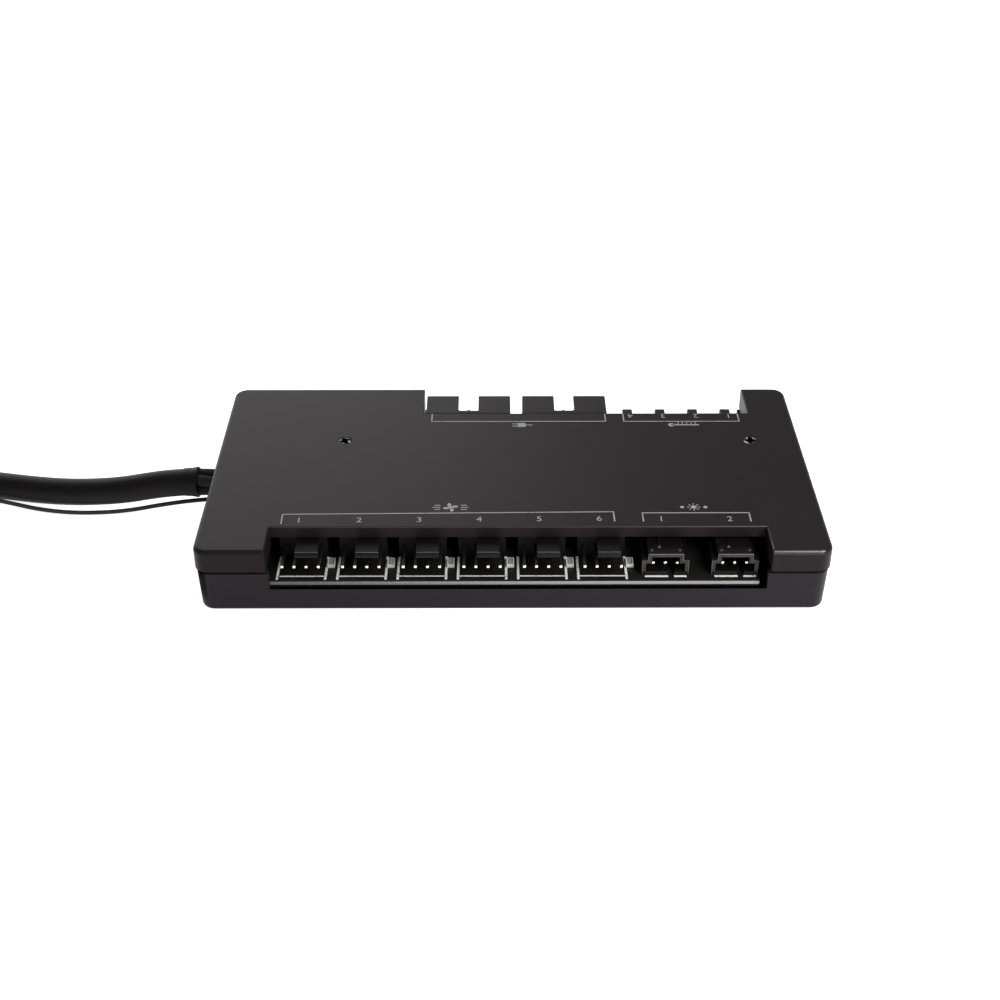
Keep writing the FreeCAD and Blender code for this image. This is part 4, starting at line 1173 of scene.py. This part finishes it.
@dataclass
class BoardDress:
    """The board's finish, its white print, a painted highlight before each light socket, and the chip
    fuses between the sockets.

    Attributes:
        shop: The workshop.
        line: Width of the printed lines.
        leg: Width of the lines beside the fan sockets.
        ink: Thickness of the print.
        front_gap: From the board's front edge to the fan sockets' front lines.
        leg_gap: From the board's front edge to the lines beside the fan sockets.
        base_depth: Depth of a fan socket's base.
        highlight_gap: From a light socket to the painted highlight before it.
        highlight_width: Width of that highlight.
        notch_shift: From a light socket's middle to the gap in its highlight.
        notch_half: Half of that gap.
        highlight_insets: How far that highlight stops short of the socket's left and right side.
        fuse_frame: Width of a fuse's light frame.
        fuse_moat: Width of the dark ring inside it.
        fuse_step: Depth of that ring.
        fuse_edge: Rounding of a fuse's edges.
        fuse_shift: How much further left the fuses stand than in the frame.
        fuse_cut: How much shorter they are at their front than in the frame.
        level: Upward part of the normal beyond which a face is level.
    """

    shop: Workshop
    line: float = 0.36 * MM
    leg: float = 0.5 * MM
    ink: float = 0.025 * MM
    front_gap: float = 1.5 * MM
    leg_gap: float = 0.3 * MM
    base_depth: float = 3.2 * MM
    highlight_gap: float = 0.1 * MM
    highlight_width: float = 0.58 * MM
    notch_shift: float = 1.27 * MM
    notch_half: float = 0.6 * MM
    highlight_insets: Pair = (0.7 * MM, 0.4 * MM)
    fuse_frame: float = 0.3 * MM
    fuse_moat: float = 0.22 * MM
    fuse_step: float = 0.06 * MM
    fuse_edge: float = 0.07 * MM
    fuse_shift: float = 0.35 * MM
    fuse_cut: float = 0.5 * MM
    level: float = 0.99

    def build(self) -> None:
        """Dress the board and its chips, and add its print, painted highlights and fuses."""
        self.shop.dress(BOARD, "main_board")
        self.print_outlines_and_highlights()
        self.fuses()
        self.shop.dress(CHIP, "control_chip", "data_hub_chip", "fan_drivers", "light_driver",
                        "power_coil")
        self.shop.dress(CAN, "clock_crystal", "buffer_cans")

    def mark(self, form: Form, left: float, near: float, right: float, far: float) -> None:
        """Lay a filled rectangle of ink between its limits on the board."""
        top = top_of("main_board")
        bar(form, (left, near, top - self.ink), (right, far, top + self.ink))

    def print_outlines_and_highlights(self) -> None:
        """Print an open outline before each fan socket, and lay a painted highlight in the same ink
        before each light socket.
        """
        form = bmesh.new()
        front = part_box("main_board")[0].y
        middle, half, leg_half = front + self.front_gap, self.line / 2, self.leg / 2
        for number in range(1, FANS + 1):
            low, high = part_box(f"fan_header_{number}")
            self.mark(form, low.x, middle - half, high.x, middle + half)
            for across in (low.x, high.x):
                self.mark(form, across - leg_half, front + self.leg_gap, across + leg_half,
                          high.y - self.base_depth)
        # Painted highlight: lines of ink stand in for the light on each light socket's lower rim,
        # broken at its notch.
        for number in range(1, LIGHTS + 1):
            low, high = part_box(f"led_header_{number}")
            notch = (low.x + high.x) / 2 + self.notch_shift
            far = low.y - self.highlight_gap
            near = far - self.highlight_width
            self.mark(form, low.x + self.highlight_insets[0], near, notch - self.notch_half, far)
            self.mark(form, notch + self.notch_half, near, high.x - self.highlight_insets[1], far)
        self.shop.piece("board_print_and_highlights", form, [SILK_AND_HIGHLIGHT])

    def fuses(self) -> None:
        """Make the chip fuses: a light frame, a dark ring and a grey core."""
        low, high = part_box("channel_fuses")
        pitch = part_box("fan_header_2")[0].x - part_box("fan_header_1")[0].x
        width = (high.x - low.x) - (FANS - 1) * pitch
        form = bmesh.new()
        for index in range(FANS):
            left = low.x + index * pitch - self.fuse_shift
            bar(form, (left, low.y + self.fuse_cut, low.z), (left + width, high.y, high.z))
        round_edges(form, form.edges[:], self.fuse_edge)
        form.normal_update()
        tops = [face for face in form.faces if face.normal.z > self.level]
        bmesh.ops.inset_individual(form, faces=tops, thickness=self.fuse_frame, depth=0.0)
        moats = bmesh.ops.inset_individual(form, faces=tops, thickness=self.fuse_moat,
                                           depth=-self.fuse_step)["faces"]
        for index, faces in ((1, moats), (2, tops)):
            for face in faces:
                face.material_index = index
        self.shop.piece("chip_fuses", form, [FUSE, FUSE_MOAT, FUSE_CORE], "channel_fuses")


LEAD_START = (
    (-71.9, 4.6, 7.65),
    (-74.9, 4.6, 7.65),
    (-81.4, 4.65, 6.95),
    (-91.0, 4.9, 4.95),
    (-104.0, 6.2, 3.8),
    (-120.0, 9.4, 3.7),
    (-142.0, 14.6, 3.7),
)
LEAD_END = (
    (-171.0, -42.3, 9.6),
    (-163.9, -43.4, 7.25),
    (-150.3, -46.0, 3.2),
    (-136.0, -46.0, 3.2),
)
STRAY_ROUTE = (
    (-51.0, -2.6, 7.2),
    (-55.9, -2.5, 7.65),
    (-59.6, -0.4, 6.0),
    (-63.2, 2.35, 4.5),
    (-69.0, 2.35, 4.5),
    (-78.5, 2.55, 3.2),
    (-91.0, 2.0, 0.9),
    (-106.0, 2.4, 0.7),
    (-120.63, 4.98, 3.0),
    (-128.42, 6.82, 3.0),
)


def metres(point: Point) -> Point:
    """Return a point given in millimetres in metres."""
    return tuple(part * MM for part in point)


@dataclass
class PowerLead:
    """The lead from the wall to its plug, coiled outside the picture, and the stray wire beside it.

    Attributes:
        shop: The workshop.
        sleeve: Diameter of the sleeve.
        wire: Diameter of the stray wire.
        lead_length: Length of the lead; not used.
        stray_length: Length of the stray wire; not used.
        cord_steps: Steps of a cord's line from one point to the next.
        cord_roundness: Steps of a quarter of a cord's outline.
        coil_middle: Middle of the coil in millimetres.
        coil_radius: Radius of the coil's middle line in millimetres.
        low_turn: Height of the lower turn in millimetres.
        high_turn: Height of the upper turn in millimetres.
        coil_angles: First angle, end and step of the coil's points in degrees.
        climb_angles: Where the cord starts to climb, and over how many degrees.
        wires: How many wires the bundle has.
        wire_sides: Sides of each of them.
        bundle_twist: Turn of the bundle's wires over their length.
        bundle_steps: Steps of that turn.
        bundle_spread: How much wider the bundle is where it enters the sleeve.
        bundle_more: Length of the bundle beyond the frame's.
        flare_wall: Thickness of the sleeve's flared end.
        flare_length: Length of the sleeve's flared end.
        flare_thin: Thickness of the flare's thin end, as a share.
        flare_from: Where the flare starts to thin out, as a share of its thickness.
        flare_sides: Sides of the flare's section.
        flare_steps: Steps of the flare around the sleeve.
        plug_edge: Width of the plug's eased edges.
        tie_edge: Width of the ties' eased edges.
    """

    shop: Workshop
    sleeve: float = 6.3 * MM
    wire: float = 1.0 * MM
    lead_length: float = 0.485
    stray_length: float = 0.079
    cord_steps: int = 10
    cord_roundness: int = 6
    coil_middle: Pair = (-184.0, -6.0)
    coil_radius: float = 35.3
    low_turn: float = 4.1
    high_turn: float = 10.4
    coil_angles: tuple[int, int, int] = (56, 632, 18)
    climb_angles: Pair = (330.0, 80.0)
    wires: int = 4
    wire_sides: int = 20
    bundle_twist: float = math.radians(50.0)
    bundle_steps: int = 8
    bundle_spread: float = 1.18
    bundle_more: float = 0.9 * MM
    flare_wall: float = 0.75 * MM
    flare_length: float = 3.2 * MM
    flare_thin: float = 0.4
    flare_from: float = 0.1
    flare_sides: int = 16
    flare_steps: int = 48
    plug_edge: float = 0.25 * MM
    tie_edge: float = 0.2 * MM

    def build(self) -> None:
        """Make the bundle, the lead with its coil and plug, and the stray wire."""
        self.bundle()
        plug = self.shop.eased("power_plug", "flat_plug", PLUG, self.plug_edge)
        strap = self.shop.eased("coil_strap", "coil_tie", NYLON, self.tie_edge)
        clip = self.shop.eased("lead_clip", "wire_clip", NYLON, self.tie_edge)
        self.shop.dress(CONTACT, "plug_contacts")
        self.shop.dress(WIRE, "lead_wires")
        self.shop.dress(NYLON, "lead_stop_tie")
        route = [*LEAD_START, *self.coil_points(), *LEAD_END]
        lead = self.cord("sleeved_lead", route, self.sleeve, SLEEVE, "power_lead",
                         "power_lead_coil", "power_lead_tail")
        collar = self.collar()
        stray = self.cord("stray_lead_wire", STRAY_ROUTE, self.wire, WIRE, "stray_wire")

    def coil_points(self) -> list[Point]:
        """Work out the coil: a turn on the floor, a climb, and most of a turn on top of it.

        Returns:
            Points in millimetres.
        """
        points = []
        climb_start, climb_span = self.climb_angles
        for angle in range(*self.coil_angles):
            climb = min(max((angle - climb_start) / climb_span, 0.0), 1.0)
            ease = climb * climb * (3.0 - 2.0 * climb)
            turn = math.radians(angle)
            points.append((self.coil_middle[0] + self.coil_radius * math.cos(turn),
                           self.coil_middle[1] + self.coil_radius * math.sin(turn),
                           self.low_turn + (self.high_turn - self.low_turn) * ease))
        return points

    def cord(self, name: str, points: Iterable[Point], diameter: float, finish: Finish,
             *stands_for: str) -> Item:
        """Make a round cord along a smooth line.

        Args:
            name: The piece's name.
            points: Control points in millimetres.
            diameter: The cord's diameter.
            finish: Its finish.
            stands_for: Nodes of the frame that it takes the place of.

        Returns:
            The cord's curve.
        """
        curve = bpy.data.curves.new(name, "CURVE")
        curve.dimensions = "3D"
        curve.bevel_depth = diameter / 2
        curve.bevel_resolution = self.cord_roundness
        curve.resolution_u = self.cord_steps
        curve.use_fill_caps = True
        places = [metres(point) for point in points]
        line = curve.splines.new("NURBS")
        line.points.add(len(places) - 1)
        for knot, place in zip(line.points, places):
            knot.co = (*place, 1.0)
        line.order_u = 3
        line.use_endpoint_u = True
        curve.materials.append(finish.material())
        return self.shop.fit(stand(name, curve), finish, *stands_for)

    def bundle(self) -> None:
        """Make the twisted wires that show between the wall and the sleeve."""
        low, high = self.bundle_box()
        middle = (low + high) / 2
        radius = (high.z - low.z) / 2
        wire = radius / (1.0 + math.sqrt(2.0))
        step = (high.x - low.x) / self.bundle_steps
        form = bmesh.new()
        for index in range(self.wires):
            turn = 2.0 * math.pi * (index + 0.5) / self.wires
            ring = bmesh.ops.create_circle(form, cap_ends=False, segments=self.wire_sides,
                                           radius=wire)["verts"]
            place = Matrix.Translation((low.x, middle.y + (radius - wire) * math.cos(turn),
                                        middle.z + (radius - wire) * math.sin(turn)))
            upright = Matrix.Rotation(math.pi / 2, 4, "Y")
            bmesh.ops.transform(form, matrix=place @ upright, verts=ring)
            bmesh.ops.spin(form, geom=ring + edges_at(ring), cent=(low.x, middle.y, middle.z),
                           axis=ALONG_X, dvec=(step, 0.0, 0.0), angle=self.bundle_twist,
                           steps=self.bundle_steps)
        bmesh.ops.holes_fill(form, edges=form.edges, sides=0)
        axis = Matrix.Translation((0.0, -middle.y, -middle.z))
        near = step / 4
        for index in range(self.bundle_steps):
            ring = [vertex for vertex in form.verts
                    if abs(vertex.co.x - low.x - index * step) < near]
            wider = 1.0 + (self.bundle_spread - 1.0) * (1.0 - index / self.bundle_steps)
            bmesh.ops.scale(form, verts=ring, vec=(1.0, wider, wider), space=axis)
        self.shop.piece("wire_bundle", form, [WIRE], "lead_bundle")

    def bundle_box(self) -> tuple[Vector, Vector]:
        """Return the corners of the bundle's room between the wall and the sleeve."""
        low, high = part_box("lead_bundle")
        return Vector((low.x - self.bundle_more, low.y, low.z)), Vector(high)

    def collar(self) -> Item:
        """Make the flared end of the sleeve.

        Returns:
            The collar.
        """
        low, high = self.bundle_box()
        middle = (low + high) / 2
        form = bmesh.new()
        section = bmesh.ops.create_circle(form, cap_ends=False, segments=self.flare_sides,
                                          radius=self.flare_wall / 2)["verts"]
        rim = Matrix.Translation((low.x, middle.y, middle.z + self.sleeve / 2))
        lying = Matrix.Rotation(math.pi / 2, 4, "X")
        bmesh.ops.transform(form, verts=section, matrix=rim @ lying)
        tail_from = low.x - self.flare_from * self.flare_wall
        tail = [vertex for vertex in section if vertex.co.x < tail_from]
        stretch = 2.0 * self.flare_length / self.flare_wall
        bmesh.ops.scale(form, verts=tail, vec=(stretch, 1.0, self.flare_thin),
                        space=rim.inverted())
        bmesh.ops.spin(form, geom=form.edges[:] + form.verts[:],
                       cent=(low.x, middle.y, middle.z), axis=ALONG_X, angle=2.0 * math.pi,
                       steps=self.flare_steps, use_merge=True)
        bmesh.ops.remove_doubles(form, verts=form.verts, dist=WELD)
        return self.shop.piece("sleeve_collar", form, [SLEEVE])


@dataclass(frozen=True)
class Softbox:
    """A square soft lamp.

    Attributes:
        name: The lamp's name.
        place: Where it hangs, in metres.
        target: What it faces.
        size: Its side.
        power: Its power in watts.
    """

    name: str
    place: Point
    target: Point
    size: float
    power: float

    def hang(self) -> None:
        """Hang the lamp."""
        data = bpy.data.lights.new(self.name, "AREA")
        data.size = self.size
        data.energy = self.power
        item = stand(self.name, data)
        item.location = self.place
        aim = Vector(self.target) - Vector(self.place)
        item.rotation_euler = aim.to_track_quat("-Z", "Y").to_euler()


@dataclass
class Studio:
    """Floor, light and camera.

    Attributes:
        eye: The camera's place in millimetres.
        yaw: Turn to the right in degrees.
        pitch: Look down in degrees.
        roll: Roll in degrees.
        lens: Focal length on the sensor.
        sensor: Width of the sensor in millimetres.
        nearest: Distance from which the camera sees.
        floor_half: Half of the floor's side in metres.
        floor_white: How much of the light falls back from the floor.
        floor_glow: How much brighter than lit the floor looks.
        sky_level: Brightness of the room's ceiling.
        wall_top: Upward part of the direction up to which the room's white walls reach.
        lamps: The soft lamps.
    """

    eye: Point = (-4.361, -293.154, 198.131)
    yaw: float = 0.351
    pitch: float = 33.3
    roll: float = 0.103
    lens: float = 55.3
    sensor: float = 36.0
    nearest: float = 10.0 * MM
    floor_half: float = 3.0
    floor_white: float = 0.95
    floor_glow: float = 0.85
    sky_level: float = 0.22
    wall_top: float = 0.3
    lamps: tuple[Softbox, ...] = (
        Softbox("front_softbox", (0.18, -0.2, 0.21), (0.03, -0.02, 0.0), 0.16, 1.25),
        Softbox("rear_softbox", (-0.45, 0.87, 0.62), (-0.02, 0.0, 0.0), 1.1, 8.0),
    )

    def build(self) -> None:
        """Set the stage."""
        bpy.context.scene.view_settings.view_transform = "Standard"
        self.floor()
        self.sky()
        for lamp in self.lamps:
            lamp.hang()
        self.camera()

    def camera(self) -> None:
        """Stand the camera where the photograph was taken."""
        yaw, pitch, roll = (math.radians(angle) for angle in (self.yaw, self.pitch, self.roll))
        level = math.cos(pitch)
        forward = Vector((math.sin(yaw) * level, math.cos(yaw) * level, -math.sin(pitch)))
        right = Vector((math.cos(yaw), -math.sin(yaw), 0.0))
        up = right.cross(forward)
        across = math.cos(roll) * right + math.sin(roll) * up
        over = -math.sin(roll) * right + math.cos(roll) * up
        turn = Matrix((across, over, -forward)).transposed()
        data = bpy.data.cameras.new("camera")
        data.lens = self.lens
        data.sensor_width = self.sensor
        data.clip_start = self.nearest
        item = stand("camera", data)
        item.matrix_world = Matrix.Translation(metres(self.eye)) @ turn.to_4x4()
        bpy.context.scene.camera = item

    def floor(self) -> None:
        """Lay a white floor that keeps the object's shadow."""
        form = bmesh.new()
        bmesh.ops.create_grid(form, x_segments=1, y_segments=1, size=self.floor_half)
        mesh = mesh_of("studio_floor", form)
        white = bpy.data.materials.new("white_floor")
        bench = ShaderBench(white)
        matte = bench.add("BsdfDiffuse", Color=(*scaled(FULL_WHITE[:3], self.floor_white), 1.0))
        strength = bench.maths("MULTIPLY", bench.shown(), self.floor_glow)
        glow = bench.add("Emission", Color=FULL_WHITE, Strength=strength)
        both = bench.add("AddShader")
        bench.feed(both.inputs[0], matte.outputs["BSDF"])
        bench.feed(both.inputs[1], glow.outputs["Emission"])
        bench.add("OutputMaterial", Surface=both.outputs["Shader"])
        mesh.materials.append(white)
        stand("studio_floor", mesh)

    def sky(self) -> None:
        """Light the room evenly and keep its walls white behind the object."""
        world = bpy.data.worlds.new("studio")
        bench = ShaderBench(world)
        heading = bench.parts(bench.add("TexCoord").outputs["Generated"])
        wall = bench.maths("LESS_THAN", heading["Z"], self.wall_top)
        mixer = bench.add("MixShader", Fac=bench.maths("MULTIPLY", bench.shown(), wall))
        for socket, strength in zip(mixer.inputs[1:], (self.sky_level, 1.0)):
            light = bench.add("Background", Color=FULL_WHITE, Strength=strength)
            bench.feed(socket, light.outputs["Background"])
        bench.add("OutputWorld", Surface=mixer.outputs["Shader"])
        bpy.context.scene.world = world


def main() -> None:
    """Build and dress every piece, then set the stage."""
    logging.basicConfig(level=logging.INFO, format="%(name)s: %(message)s")
    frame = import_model()
    shop = Workshop(frame["nodes"])
    for assembly in (CaseShells, PrintedMarks, CoverScrews, Sockets, BoardDress, PowerLead):
        LOG.info("building %s", assembly.__name__)
        assembly(shop).build()
    Studio().build()


if __name__ == "__main__":
    main()
